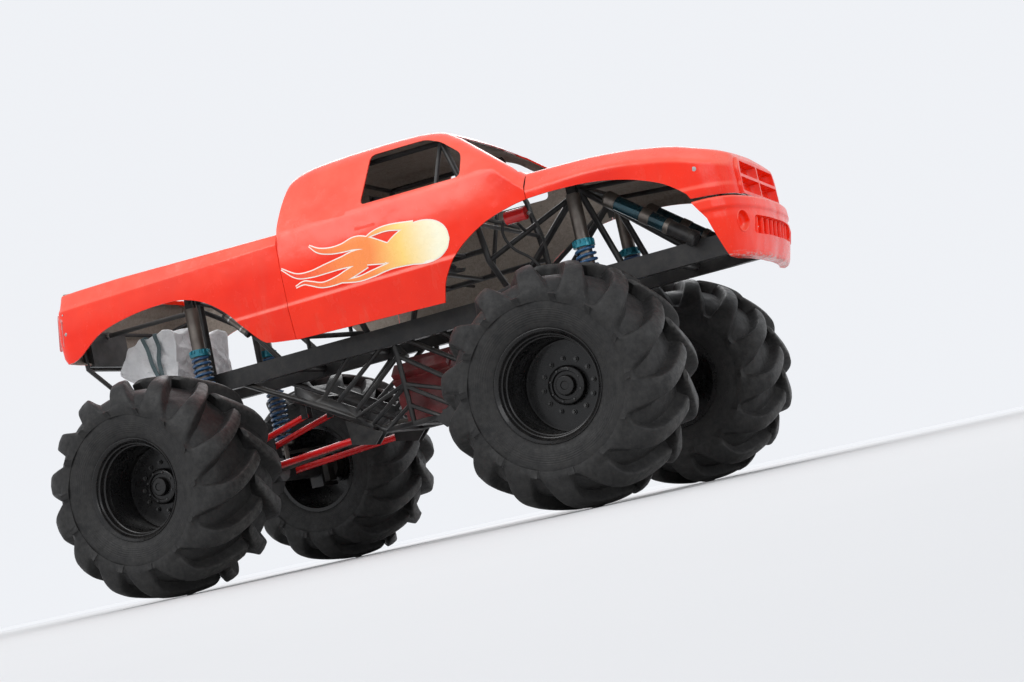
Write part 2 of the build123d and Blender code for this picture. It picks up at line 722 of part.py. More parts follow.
def driveline():
    face = MID_X + 385.0
    bell = rod((face, 0, CRANK_Z), (face + 70, 0, CRANK_Z), 172.0)
    box = rod((face + 60, 0, CRANK_Z), (face + 500, 0, CRANK_Z), 112.0)
    case = block((560, 720), (-140, 140), (930, 1120))
    front = strut((715, 0, SHAFT_Z), (FRONT_X - 250, 0, AXLE_Z + 10), 27.0)
    middle = rod((565, 0, SHAFT_Z), (SHAFT_BEARING_X, 0, SHAFT_Z), 26.0)
    bearing = rod((SHAFT_BEARING_X - 30, 0, SHAFT_Z), (SHAFT_BEARING_X + 30, 0, SHAFT_Z), 38.0)
    rear = strut((SHAFT_BEARING_X, 0, SHAFT_Z), (REAR_X + 250, 0, AXLE_Z + 10), 27.0)
    return fuse([bell, box, case, front, middle, bearing, rear])


# Shell panels
SIDE_SECTION = (
    (BODY_HALF - TUCK, 1400.0),
    (BODY_HALF - TUCK, 1660.0),
    (BODY_HALF, CREASE_Z),
    (BODY_HALF, 2290.0),
    (BODY_HALF - 12, 2440.0),
    (BODY_HALF - 36, 2520.0),
)
BED_SECTION = SIDE_SECTION + ((BODY_HALF - 60, 2600.0),)
CAB_SECTION = SIDE_SECTION + (
    (BODY_HALF - 130, 2760.0),
    (BODY_HALF - 210, 2935.0),
    (BODY_HALF - 340, 3020.0),
    (BODY_HALF - 600, 3045.0),
)
BED_PLAN = (
    (BED_FRONT_X - SEAM, BODY_HALF),
    (TAIL_X + 325, BODY_HALF),
    (TAIL_X + 125, BODY_HALF - 22),
    (TAIL_X + 45, BODY_HALF - 70),
    (TAIL_X, BODY_HALF - 200),
)


def inset(points, amount):
    return [(y - amount if y > 0 else y + amount, z) for y, z in points]


def lowered(points, amount):
    return [(x, z - amount) for x, z in points]


def plan_loop(points):
    return list(points) + [(x, -y) for x, y in reversed(points)]


def bed_block(grow):
    side = list(TAIL) + list(REAR_ARCH[:-1]) + [(BED_FRONT_X - SEAM, 1708.0), (BED_FRONT_X - SEAM, 2535.0)]
    side += [BED_TOP[1]]
    wide = BODY_HALF + grow
    plan = [(x, y + grow) for x, y in BED_PLAN[:-1]] + [(BED_PLAN[-1][0] - grow, BED_PLAN[-1][1])]
    outer = prism_y(side, -wide, wide) & prism_x(mirrored(inset(BED_SECTION, -grow)), -3000, BED_FRONT_X)
    return outer & prism_z(plan_loop(plan), 1400, 2700)


def bed():
    outer = bed_block(0) + (bed_block(LAMP_PROUD) & prism_y(TAIL_LAMP, -1000, 1000))
    room_plan = [(x + (PANEL if x < -2700 else 0), y - PANEL) for x, y in BED_PLAN]
    room_plan[0] = (BED_FRONT_X + 10, BODY_HALF - PANEL)
    room = prism_z(plan_loop(room_plan), 1300, 2800)
    room = room & prism_x(mirrored(inset(BED_SECTION, PANEL)), -3000, BED_FRONT_X + 20)
    room_side = [(x + PANEL, z - PANEL) for x, z in TAIL[:4]]
    room_side += [(TAIL[4][0] + 30, TAIL[4][1] - 20), (TAIL[4][0] + 30, 1300)]
    room_side += [(BED_FRONT_X + 10, 1300), (BED_FRONT_X + 10, 2510)]
    room = room & prism_y(room_side, -BODY_HALF, BODY_HALF)
    top = block((TAIL_X + 185, BED_FRONT_X - 30), (-BODY_HALF + 100, BODY_HALF - 100), (2400, 2700))
    return outer - room - top


def side_recess(outline, section, depth):
    deep = prism_y(outline, -BODY_HALF - 50, BODY_HALF + 50)
    return deep - prism_x(mirrored(inset(section, depth)), -3000, 3000)


def cab():
    side = list(CAB_TOP) + [(CAB_FRONT_X, 2223.0)] + list(reversed(CAB_ARCH)) + [(BED_FRONT_X, 1706.0)]
    outer = prism_y(side, -BODY_HALF, BODY_HALF)
    outer = outer & prism_x(mirrored(CAB_SECTION), BED_FRONT_X - 5, CAB_FRONT_X + 5)
    hollow = [(BED_FRONT_X + PANEL, 1300)]
    hollow += [(x + PANEL, z) for x, z in CAB_TOP[:3]]
    hollow += lowered(CAB_TOP[3:7], PANEL)
    hollow += [
        (CAB_TOP[7][0] - PANEL, CAB_TOP[7][1] - PANEL),
        (CAB_FRONT_X - 25, 2440 - PANEL),
        (CAB_FRONT_X + 10, 2430 - PANEL),
        (CAB_FRONT_X + 10, 1300),
    ]
    room = prism_y(hollow, -BODY_HALF, BODY_HALF)
    room_section = inset(CAB_SECTION[:-2], PANEL)
    room_section += [(BODY_HALF - 350, 3005.0), (BODY_HALF - 600, 3045.0 - PANEL)]
    room = room & prism_x(mirrored(room_section), BED_FRONT_X - 20, CAB_FRONT_X + 20)
    window = prism_y(WINDOW, 500, 1000)
    screen = prism_x([(-790, 2455), (790, 2455), (600, 2905), (-600, 2905)], 760, CAB_FRONT_X + 200)
    rear_glass = prism_x([(-520, 2600), (520, 2600), (470, 2880), (-470, 2880)], -800, -500)
    under = block((BED_FRONT_X - 20, BED_FRONT_X + 60), (-BODY_HALF + 60, BODY_HALF - 60), (1500, 2150))
    shell = outer - room - screen - rear_glass - under
    for opening in both_sides(window):
        shell = shell - opening
    shell = shell - side_recess(QUARTER, CAB_SECTION, RECESS)
    return shell - side_recess(HANDLE, CAB_SECTION, RECESS + 3)


CLIP_ROWS = (
    # x, side drawn in, side top z, shoulder drawn in, shoulder z, crown z
    (CAB_FRONT_X + SEAM, 0.0, 2290.0, 110.0, 2425.0, 2465.0),
    (FRONT_X + 380.0, 0.0, 2290.0, 130.0, 2400.0, 2450.0),
    (FRONT_X + 815.0, 15.0, 2225.0, 160.0, 2335.0, 2385.0),
    (FRONT_X + 1065.0, 100.0, 2160.0, 240.0, 2262.0, 2305.0),
    (NOSE_X - 70.0, 220.0, 2120.0, 320.0, 2215.0, 2245.0),
    (NOSE_X, 380.0, 2095.0, 420.0, 2175.0, 2190.0),
)


def clip_skin(drop, back, front, floor):
    loops = []
    for index, (x, drawn, side_z, shoulder_in, shoulder_z, crown_z) in enumerate(CLIP_ROWS):
        if index == 0:
            x = x - back
        if index == len(CLIP_ROWS) - 1:
            x = x - front
        half = BODY_HALF - drawn
        shoulder = BODY_HALF - shoulder_in
        points = [
            (half - TUCK - drop, floor),
            (half - drop, CREASE_Z),
            (half - drop, side_z - drop / 2),
            (shoulder - drop / 2, shoulder_z - drop),
            (shoulder / 2, crown_z - drop),
        ]
        loops.append([(x, y, z) for y, z in mirrored(points)])
    faces = [flat(loops[0]), flat(loops[-1])]
    for low, high in zip(loops, loops[1:]):
        for i in range(len(low)):
            j = (i + 1) % len(low)
            faces.append(flat([low[i], low[j], high[j]]))
            faces.append(flat([low[i], high[j], high[i]]))
    return Solid(Shell(faces))


def front_clip():
    outer = clip_skin(0, 0, 0, 1600.0)
    room = clip_skin(PANEL, 60, PANEL, 1500.0)
    arch = [(CAB_FRONT_X - 100, 1400.0), (CAB_FRONT_X - 100, 2222.0)] + list(CLIP_ARCH)
    arch += [(NOSE_X + 150, 1880.0), (NOSE_X + 150, 1400.0)]
    shell = outer - room - prism_y(arch, -BODY_HALF - 100, BODY_HALF + 100)
    for y in (-255.0, 255.0):
        for z in ((1935.0, 2030.0), (2060.0, 2150.0)):
            shell = shell - block((NOSE_X - 150, NOSE_X + 50), (y - 215, y + 215), z)
    return shell


BUMPER_PLAN = (
    (NOSE_X - 300, BODY_HALF - 5),
    (NOSE_X - 150, BODY_HALF - 35),
    (NOSE_X - 30, BODY_HALF - 155),
    (NOSE_X + 40, BODY_HALF - 400),
    (NOSE_X + 75, BODY_HALF - 700),
)
BUMPER_SIDE = (
    (NOSE_X - 298, 1880.0),
    (NOSE_X + 75, 1850.0),
    (NOSE_X + 65, 1700.0),
    (NOSE_X, 1460.0),
    (NOSE_X - 128, 1460.0),
    (NOSE_X - 200, 1740.0),
)
FOG_Y = 560.0
FOG_Z = 1735.0
FOG_R = 70.0


def bumper():
    whole = prism_z(plan_loop(BUMPER_PLAN), 1400, 1950) & prism_y(BUMPER_SIDE, -1000, 1000)
    room_plan = [(x - PANEL, y - PANEL) for x, y in BUMPER_PLAN]
    room_plan[0] = (NOSE_X - 350, BODY_HALF - 5 - PANEL)
    room_side = [
        (NOSE_X - 350, 1990.0),
        (NOSE_X + 61, 1990.0),
        (NOSE_X + 50, 1700.0),
        (NOSE_X - 12, 1474.0),
        (NOSE_X - 350, 1474.0),
    ]
    room = prism_z(plan_loop(room_plan), 1300, 2000) & prism_y(room_side, -1000, 1000)
    shell = whole - room
    lamp_back = NOSE_X - 50
    boss = rod((lamp_back, FOG_Y, FOG_Z), (NOSE_X + 60, FOG_Y, FOG_Z), FOG_R + 14) & whole
    cup = rod((lamp_back + 14, FOG_Y, FOG_Z), (NOSE_X + 100, FOG_Y, FOG_Z), FOG_R)
    shell = fuse([shell] + both_sides(boss))
    for hollow in both_sides(cup):
        shell = shell - hollow
    for y in (-220.0, 0.0, 220.0):
        shell = shell - block((NOSE_X - 150, NOSE_X + 150), (y - 95, y + 95), (1500, 1570))
    plate = block((NOSE_X - 100, NOSE_X + 150), (-170, 170), (1640, 1760))
    return shell - (plate - Pos(-RECESS, 0, 0) * whole)


# Shell mounts, cooling, load and small pieces
def shell_mounts():
    tail = [
        (RAIL_REAR_X + 22, RAIL_MID_Y, RAIL_LAND),
        (TAIL_X + 85, 585.0, 1985.0),
        (TAIL_X + 60, 585.0, 2300.0),
        (TAIL_X + 235, BODY_HALF - 70, 2396.0),
    ]
    tail_cross = [
        rod((TAIL_X + 85, -585, 1985), (TAIL_X + 85, 585, 1985), 18.0, TUBE_SIDES),
        rod((TAIL_X + 62, -585, 2296), (TAIL_X + 62, 585, 2296), 17.0, TUBE_SIDES),
    ]
    rear = fuse(both_sides(bent_tube(tail, 20.0)) + tail_cross)
    x = BED_FRONT_X - 199
    reach = BODY_HALF - PANEL - 12
    post = rod((x, RAIL_MID_Y, RAIL_LAND), (x, RAIL_MID_Y, 2340), 19.0, TUBE_SIDES)
    middle = fuse([rod((x, -reach, 2335), (x, reach, 2335), 20.0, TUBE_SIDES)] + both_sides(post))
    return [rear, middle]


def radiator():
    return block((TAIL_X + 66, TAIL_X + 122), (-540, -60), (2008, 2272))


def tarp():
    outline = [
        (-2630, RAIL_TOP + 3),
        (-2650, 1810),
        (-2785, 1943),
        (-2438, 2225),
        (-2247, 2205),
        (-2108, 2230),
        (-1896, 2220),
        (-1905, 1840),
        (-1960, RAIL_TOP + 3),
    ]
    return prism_y(outline, -430, 430)


def tow_eyes():
    shapes = []
    for x, end in ((RAIL_FRONT_X, 1), (RAIL_REAR_X, -1)):
        y = (RAIL_OUT_Y + 1, RAIL_OUT_Y + 1 + TOW_PLATE_T)
        plate = block(sorted((x - end * 40, x + end * 70)), y, (RAIL_MID_Z - 50, RAIL_MID_Z + 50))
        centre = x + end * 30
        hole = round_rod((centre, y[0] - 5, RAIL_MID_Z), (centre, y[1] + 5, RAIL_MID_Z), TOW_HOLE_R)
        shapes += both_sides(plate - hole)
    return shapes


CELL_Y = -622.0
CELL_Z = 2185.0


def accumulator():
    x = SHOCK_FRONT_X - 420
    return rod((x - 80, CELL_Y, CELL_Z), (x + 82, CELL_Y, CELL_Z), 50.0)


def hoses():
    x = SHOCK_FRONT_X - 420
    back = [
        (x - 94, CELL_Y, CELL_Z),
        (x - 130, CELL_Y, CELL_Z - 45),
        (x - 140, CELL_Y + 25, 2050.0),
        (x - 90, -560.0, 1950.0),
        (x, -500.0, 1880.0),
        (x + 60, -450.0, 1760.0),
        (x + 60, -420.0, 1650.0),
    ]
    ahead = [
        (x + 96, CELL_Y, CELL_Z),
        (x + 130, CELL_Y, CELL_Z - 40),
        (x + 140, -560.0, 2040.0),
        (x + 120, -480.0, 1960.0),
        (x + 100, -420.0, 1760.0),
        (x + 130, -420.0, 1640.0),
    ]
    water = [
        (TAIL_X + 125, -300.0, 2262.0),
        (-2480.0, -300.0, 2262.0),
        (-1900.0, -290.0, 2254.0),
        (-1790.0, -290.0, 2215.0),
        (-1300.0, -270.0, 1880.0),
        (-700.0, -180.0, 1760.0),
        (-420.0, -90.0, 1720.0),
        (-250.0, -30.0, 1560.0),
        (-215.0, -20.0, 1458.0),
    ]
    return [bent_tube(back, 11.0, 6), bent_tube(ahead, 11.0, 6), bent_tube(water, 20.0)]


os.makedirs("parts", exist_ok=True)
rails = frame_rails()
cage = roll_cage() - rails
save("frame_rails", rails)
save("belly_cage", belly_cage() - rails)
save("roll_cage", cage)
save("tower_front", tower_front() - rails - cage)
save("tower_rear", tower_rear() - rails)
save("shell_mounts", [mount - rails for mount in shell_mounts()])
save("cab_shell", cab())
save("front_clip", front_clip())
save("bed_shell", bed())
save("bumper", bumper())
save("engine", engine())
save("driveline", driveline())
save("links", links())
save("shock_tubes", shock_tubes())
save("shock_collars", shock_collars())
save("springs", springs())
save("reservoirs", reservoirs())
save("seat", seat())
save("steering_wheel", steering_wheel())
save("radiator", radiator())
save("tarp", tarp())
save("tow_eyes", tow_eyes())
save("accumulator", accumulator())
save("hoses", hoses())
left_tyre = tyre()
left_rim = rim()
for place, x, front in (("front", FRONT_X, 1), ("rear", REAR_X, -1)):
    save("axle_" + place, axle(x, front))
    save("ram_" + place, ram(x, front))
    save("steer_rod_" + place, steer_rod(x, front))
    for hand, side in (("left", 1), ("right", -1)):
        save("knuckle_" + place + "_" + hand, knuckle(x, side, front))
        tyre_shape = left_tyre if side > 0 else mirror(left_tyre, about=Plane.XZ)
        rim_shape = left_rim if side > 0 else mirror(left_rim, about=Plane.XZ)
        save("tyre_" + place + "_" + hand, Pos(x, 0, AXLE_Z) * tyre_shape)
        save("rim_" + place + "_" + hand, Pos(x, 0, AXLE_Z) * rim_shape)
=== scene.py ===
import math

import bpy
import numpy as np
from mathutils import Matrix, Vector, noise


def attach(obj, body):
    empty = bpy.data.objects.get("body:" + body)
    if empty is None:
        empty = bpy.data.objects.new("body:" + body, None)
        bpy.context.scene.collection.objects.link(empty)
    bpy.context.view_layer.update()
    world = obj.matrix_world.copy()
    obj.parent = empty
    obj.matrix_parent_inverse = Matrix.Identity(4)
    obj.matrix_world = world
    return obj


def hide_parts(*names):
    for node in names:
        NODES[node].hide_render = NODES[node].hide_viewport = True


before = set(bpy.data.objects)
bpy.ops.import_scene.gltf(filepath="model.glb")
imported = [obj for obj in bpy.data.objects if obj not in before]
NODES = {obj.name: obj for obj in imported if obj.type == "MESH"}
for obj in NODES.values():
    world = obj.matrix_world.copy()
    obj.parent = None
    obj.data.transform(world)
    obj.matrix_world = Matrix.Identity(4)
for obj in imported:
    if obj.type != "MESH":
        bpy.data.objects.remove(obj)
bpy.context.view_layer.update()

# Metres. +X is the truck's front, +Y its left side, +Z up, Z 0 the ground.

# Wheels and axles
WHEELBASE = 3.36
REAR_X = -1.775
FRONT_X = REAR_X + WHEELBASE
WHEEL_Y = 1.286
LUG_TOP = 0.836
AXLE_Z = LUG_TOP
LUG_COUNT = 14
LUG_BEND = (0.035, -0.80, 0.65)
RIM_R = 0.360
RIM_HALF = 0.413
RIM_STEP = 0.014
RIM_STEP_LONG = 0.045
FLANGE_R = 0.381
HUB_R = 0.135
DISC = 0.014
HUB_FACE = 0.088
WHEEL_NUTS = 12
NUT_RING = 0.183
HUB_BOLTS = 8
HUB_BOLT_RING = 0.110

# Shell
BODY_HALF = 0.900
TUCK = 0.045
PANEL = 0.012
BED_FRONT_X = -0.670
SEAM = 0.005
CAB_FRONT_X = FRONT_X - 0.180
NOSE_X = FRONT_X + 1.265
TAIL_X = REAR_X - 1.150
# Heights of the shell's side: where its sections start, its crease and its belt
SKIRT_Z = 1.620
CREASE_Z = 1.960
BELT_Z = 2.520
# Half length of the cutters that pass through both sides
CUT_HALF = 1.2

# Shocks: the springs end below their collars
SHOCK_PLACES = [(x, side * 0.500) for x in (REAR_X - 0.020, FRONT_X + 0.030) for side in (-1, 1)]
SPRING_LOW_Z = 1.090
SPRING_R = 0.068
SPRING_TURNS = 17.0
WIRE_R = 0.012
COLLAR_Z = 1.840
COLLAR_TALL = 0.058
COLLAR_TEETH = 12
TOOTH_RING = 0.077


# Curves and outlines
def spline(points, count):
    """Points spread evenly along a smooth curve that passes through the given ones."""
    pts = np.array(points, float)
    ends = np.vstack([2 * pts[0] - pts[1], pts, 2 * pts[-1] - pts[-2]])
    fine = []
    for i in range(1, len(ends) - 2):
        p0, p1, p2, p3 = ends[i - 1:i + 3]
        for t in np.linspace(0, 1, 24, endpoint=False):
            fine.append(0.5 * (2 * p1 + (p2 - p0) * t + (2 * p0 - 5 * p1 + 4 * p2 - p3) * t ** 2
                               + (3 * p1 - p0 - 3 * p2 + p3) * t ** 3))
    fine.append(pts[-1])
    return even(fine, count)


def even(points, count):
    """The same line with its points spread evenly."""
    pts = np.array(points, float)
    steps = np.linalg.norm(np.diff(pts, axis=0), axis=1)
    along = np.concatenate([[0], np.cumsum(steps)])
    wanted = np.linspace(0, along[-1], count)
    return np.column_stack([np.interp(wanted, along, pts[:, k]) for k in range(pts.shape[1])])


def softened(points, radii, spans, steps=4):
    """A line with rounded corners; spans says how many pieces each straight gets."""
    pts = [np.array(p, float) for p in points]
    line = []
    start = pts[0]
    for i in range(1, len(pts)):
        last = i == len(pts) - 1
        back = pts[i] - pts[i - 1]
        if last:
            stop = pts[i]
        else:
            onward = pts[i + 1] - pts[i]
            reach = min(radii[i - 1], 0.45 * np.linalg.norm(back), 0.45 * np.linalg.norm(onward))
            stop = pts[i] - back / max(np.linalg.norm(back), 1e-9) * reach
            after = pts[i] + onward / max(np.linalg.norm(onward), 1e-9) * reach
        for t in np.linspace(0, 1, spans[i - 1], endpoint=False):
            line.append(start + (stop - start) * t)
        if last:
            line.append(stop)
        else:
            for t in np.linspace(0, 1, steps, endpoint=False):
                line.append((1 - t) ** 2 * stop + 2 * t * (1 - t) * pts[i] + t * t * after)
            start = after
    return np.array(line)


def headings(line):
    """Unit vectors along a line, one at each of its points."""
    along = np.gradient(line, axis=0)
    return along / np.maximum(np.linalg.norm(along, axis=1), 1e-9)[:, None]


def inward_of(plan):
    """Unit vectors from a plan line, which starts on the left side, towards the truck's middle."""
    along = headings(plan)
    inward = np.column_stack([-along[:, 1], along[:, 0]])
    return inward if inward[0][1] < 0 else -inward


def both_sides(half):
    """A line from the left side to the middle, carried on to the right side."""
    half = np.array(half, float)
    mirrored = half * (1, -1, 1)[:half.shape[1]]
    return np.vstack([half, mirrored[-2::-1]])


def round_steps(count):
    return np.linspace(0, 2 * math.pi, count, endpoint=False)


def beside(u, v, *offsets):
    """Points given by their offsets from one corner."""
    return [(u + a, v + b) for a, b in offsets]


def share_between(value, low, high):
    """Where a value lies between two others, from 0 to 1."""
    return min(1.0, max(0.0, (value - low) / (high - low)))


SIDE_PROFILE = (
    # height, how far the side is drawn in
    (1.40, TUCK), (1.66, TUCK), (1.80, 0.022), (CREASE_Z - 0.006, 0.0), (CREASE_Z + 0.004, 0.0),
    (CREASE_Z + 0.03, 0.007), (2.29, 0.002), (2.44, 0.012), (BELT_Z, 0.036), (2.60, 0.060),
    (2.76, 0.130), (2.935, 0.210), (3.10, 0.285),
)


def side_half(z):
    """Half width of the shell's side at height z."""
    heights, drawn = zip(*SIDE_PROFILE)
    return float(BODY_HALF - np.interp(z, heights, drawn))


# Mesh builder
def new_object(name, data):
    obj = bpy.data.objects.new(name, data)
    bpy.context.scene.collection.objects.link(obj)
    return obj


class Bag:
    """Collects grids and solids, then makes one mesh object of them."""

    def __init__(self):
        self.points = []
        self.faces = []
        self.kinds = []

    def add(self, points, faces, kind=0):
        first = len(self.points)
        self.points += [tuple(p) for p in points]
        self.faces += [tuple(first + i for i in face) for face in faces]
        self.kinds += [kind] * len(faces)

    def cap(self, corners):
        """One face over points that are already there."""
        self.faces.append(tuple(corners))
        self.kinds.append(0)

    def grid(self, points, wrap=False, flip=False, kind=0):
        points = np.array(points)
        rows, cols = points.shape[:2]
        faces = []
        for r in range(rows - 1):
            for c in range(cols if wrap else cols - 1):
                d = (c + 1) % cols
                quad = (r * cols + c, r * cols + d, (r + 1) * cols + d, (r + 1) * cols + c)
                faces.append(quad[::-1] if flip else quad)
        self.add(points.reshape(-1, 3), faces, kind)

    def turned(self, profile, sides, place=None, flip=False, closed=False, kind=0):
        """A profile of (along, radius) turned around the Y axis."""
        angles = round_steps(sides)
        rows = list(profile)
        if closed:
            rows.append(rows[0])
        pts = [[(r * math.cos(a), y, r * math.sin(a)) for a in angles] for y, r in rows]
        if place is not None:
            pts = [[tuple(place @ Vector(p)) for p in row] for row in pts]
        self.grid(pts, wrap=True, flip=flip, kind=kind)

    def drum(self, start, end, radii, sides=16, kind=0):
        """A round bar from start to end; radii are (share of the length, radius) pairs."""
        a = Vector(start)
        direction = Vector(end) - a
        turn = Vector((0, 1, 0)).rotation_difference(direction).to_matrix().to_4x4()
        place = Matrix.Translation(a) @ turn
        profile = [(direction.length * share, radius) for share, radius in radii]
        profile = [(profile[0][0], 0.0005)] + profile + [(profile[-1][0], 0.0005)]
        self.turned(profile, sides, place=place, kind=kind)

    def bolt(self, start, end, radius, tip, sides, kind=0, straight=0.8):
        """A drum that narrows only over its last bit."""
        self.drum(start, end, [(0, radius), (straight, radius), (1, tip)], sides, kind)

    def box(self, low, high, kind=0):
        x, y, z = zip(low, high)
        pts = [(x[i], y[j], z[k]) for i in (0, 1) for j in (0, 1) for k in (0, 1)]
        faces = [(0, 1, 3, 2), (4, 6, 7, 5), (0, 4, 5, 1), (2, 3, 7, 6), (0, 2, 6, 4), (1, 5, 7, 3)]
        self.add(pts, faces, kind)

    def make(self, name, angle=40.0):
        mesh = bpy.data.meshes.new(name)
        mesh.from_pydata(self.points, [], self.faces)
        mesh.polygons.foreach_set("material_index", self.kinds)
        obj = new_object(name, mesh)
        mesh.update()
        smooth(mesh, angle)
        return obj


def smooth(mesh, angle):
    mesh.shade_smooth()
    mesh.set_sharp_from_angle(angle=math.radians(angle))


def face_out(obj, centre):
    """Turns the faces so that most look away from the centre."""
    mesh = obj.data
    total = sum((p.center - Vector(centre)).normalized().dot(p.normal) * p.area for p in mesh.polygons)
    if total < 0:
        mesh.flip_normals()


def settle(obj):
    """Applies the modifiers of an object."""
    bpy.context.view_layer.update()
    graph = bpy.context.evaluated_depsgraph_get()
    mesh = bpy.data.meshes.new_from_object(obj.evaluated_get(graph), depsgraph=graph)
    obj.modifiers.clear()
    old = obj.data
    obj.data = mesh
    bpy.data.meshes.remove(old)


def thicken(obj, amount):
    """Gives a skin its wall, inwards; the inner side takes the second material."""
    mod = obj.modifiers.new("wall", "SOLIDIFY")
    mod.thickness = amount
    mod.offset = -1
    mod.use_even_offset = False
    mod.material_offset = 1
    mod.material_offset_rim = 0
    settle(obj)


def cut(obj, cutters, angle=35.0):
    for cutter in cutters:
        mod = obj.modifiers.new("cut", "BOOLEAN")
        mod.operation = "DIFFERENCE"
        mod.solver = "EXACT"
        mod.object = cutter
    settle(obj)
    for cutter in cutters:
        mesh = cutter.data
        bpy.data.objects.remove(cutter)
        bpy.data.meshes.remove(mesh)
    smooth(obj.data, angle)


def prism(outline, low, high, axis="y"):
    """A solid cutter of an outline. Low and high are depths, or functions of the second value."""
    bag = Bag()
    count = len(outline)
    pts = []
    for depth in (low, high):
        for u, v in outline:
            d = depth(v) if callable(depth) else depth
            pts.append((u, d, v) if axis == "y" else (d, u, v))
    faces = [tuple(range(count)), tuple(range(2 * count - 1, count - 1, -1))]
    faces += [(i, count + i, count + (i + 1) % count, (i + 1) % count) for i in range(count)]
    bag.add(pts, faces)
    obj = bag.make("cutter")
    face_out(obj, np.mean(pts, axis=0))
    return obj


def round_curve(name, radius, resolution):
    curve = bpy.data.curves.new(name, "CURVE")
    curve.dimensions = "3D"
    curve.bevel_depth = radius
    curve.bevel_resolution = resolution
    return curve


def add_run(curve, kind, points):
    run = curve.splines.new(kind)
    run.points.add(len(points) - 1)
    for spot, point in zip(run.points, points):
        spot.co = (*point, 1)
    return run


# Materials
COAT_ROUGHNESS = 0.06


class Look:
    """A node material whose colour, roughness and relief all vary."""

    def __init__(self, name):
        self.mat = bpy.data.materials.new(name)
        self.mat.use_nodes = True
        self.tree = self.mat.node_tree
        self.tree.nodes.clear()
        self.out = self.node("ShaderNodeOutputMaterial")
        self.bsdf = self.node("ShaderNodeBsdfPrincipled")
        self.link(self.bsdf.outputs[0], self.out.inputs[0])
        self.spot = self.node("ShaderNodeTexCoord").outputs["Object"]

    def node(self, kind, **values):
        n = self.tree.nodes.new(kind)
        for key, value in values.items():
            if hasattr(n, key):
                setattr(n, key, value)
            else:
                n.inputs[key.replace("_", " ")].default_value = value
        return n

    def link(self, a, b):
        self.tree.links.new(a, b)

    def cloud(self, scale, detail=5.0, rough=0.6, squeeze=None, distortion=0.0):
        n = self.node("ShaderNodeTexNoise", Scale=scale, Detail=detail, Roughness=rough,
                      Distortion=distortion)
        if squeeze:
            m = self.node("ShaderNodeMapping")
            m.inputs["Scale"].default_value = squeeze
            self.link(self.spot, m.inputs[0])
            self.link(m.outputs[0], n.inputs["Vector"])
        else:
            self.link(self.spot, n.inputs["Vector"])
        return n.outputs["Fac"]

    def band(self, value, low, high, start=0.0, end=1.0):
        n = self.node("ShaderNodeMapRange")
        for key, v in (("From Min", low), ("From Max", high), ("To Min", start), ("To Max", end)):
            n.inputs[key].default_value = v
        self.link(value, n.inputs["Value"])
        return n.outputs["Result"]

    def maths(self, operation, a, b):
        n = self.node("ShaderNodeMath", operation=operation)
        for i, v in enumerate((a, b)):
            if isinstance(v, (int, float)):
                n.inputs[i].default_value = v
            else:
                self.link(v, n.inputs[i])
        return n.outputs[0]

    def times(self, a, b):
        return self.maths("MULTIPLY", a, b)

    def plus(self, a, b):
        return self.maths("ADD", a, b)

    def uneven(self, scale, low, high):
        """A value that drifts between low and high."""
        return self.band(self.cloud(scale), 0.3, 0.7, low, high)

    def mix(self, factor, a, b):
        n = self.node("ShaderNodeMix", data_type="RGBA")
        self.link(factor, n.inputs["Factor"])
        for key, v in ((6, a), (7, b)):
            if isinstance(v, tuple):
                n.inputs[key].default_value = (*v, 1)
            else:
                self.link(v, n.inputs[key])
        return n.outputs[2]

    def part_of(self, axis):
        n = self.node("ShaderNodeSeparateXYZ")
        self.link(self.spot, n.inputs[0])
        return n.outputs[axis]

    def facing_up(self):
        g = self.node("ShaderNodeNewGeometry")
        n = self.node("ShaderNodeSeparateXYZ")
        self.link(g.outputs["Normal"], n.inputs[0])
        return n.outputs[2]

    def radius(self):
        """Distance from the wheel's own axis."""
        n = self.node("ShaderNodeVectorMath", operation="MULTIPLY")
        n.inputs[1].default_value = (1, 0, 1)
        self.link(self.spot, n.inputs[0])
        m = self.node("ShaderNodeVectorMath", operation="LENGTH")
        self.link(n.outputs[0], m.inputs[0])
        return m.outputs["Value"]

    def relief(self, height, distance, strength=1.0):
        n = self.node("ShaderNodeBump", Strength=strength, Distance=distance)
        self.link(height, n.inputs["Height"])
        self.link(n.outputs[0], self.bsdf.inputs["Normal"])

    def finish(self, colour, rough, metallic=0.0, coat=0.0, shine=0.5):
        self.link(colour, self.bsdf.inputs["Base Color"])
        self.link(rough, self.bsdf.inputs["Roughness"])
        self.bsdf.inputs["Metallic"].default_value = metallic
        self.bsdf.inputs["Coat Weight"].default_value = coat
        self.bsdf.inputs["Specular IOR Level"].default_value = shine
        self.bsdf.inputs["Coat Roughness"].default_value = COAT_ROUGHNESS
        return self.mat


DUST = (0.22, 0.19, 0.155)


def painted(name, colour, deep, rough, coat=0.0, dust=0.3, metallic=0.0, grain=60.0, relief=0.0006,
            shine=0.5):
    """Paint or metal that varies a little, with dust lying on what faces up."""
    look = Look(name)
    patches = look.band(look.cloud(4.5, 6.0), 0.35, 0.68)
    base = look.mix(patches, colour, deep)
    lying = look.band(look.facing_up(), 0.1, 0.95)
    loose = look.band(look.cloud(13.0, 8.0, 0.7), 0.42, 0.70)
    amount = look.times(look.times(look.plus(look.times(lying, 0.7), 0.3), loose), dust)
    shade = look.mix(amount, base, DUST)
    roughness = look.plus(look.uneven(18.0, *rough), look.times(amount, 0.4))
    look.relief(look.cloud(grain, 4.0), relief)
    return look.finish(shade, roughness, metallic, coat, shine)


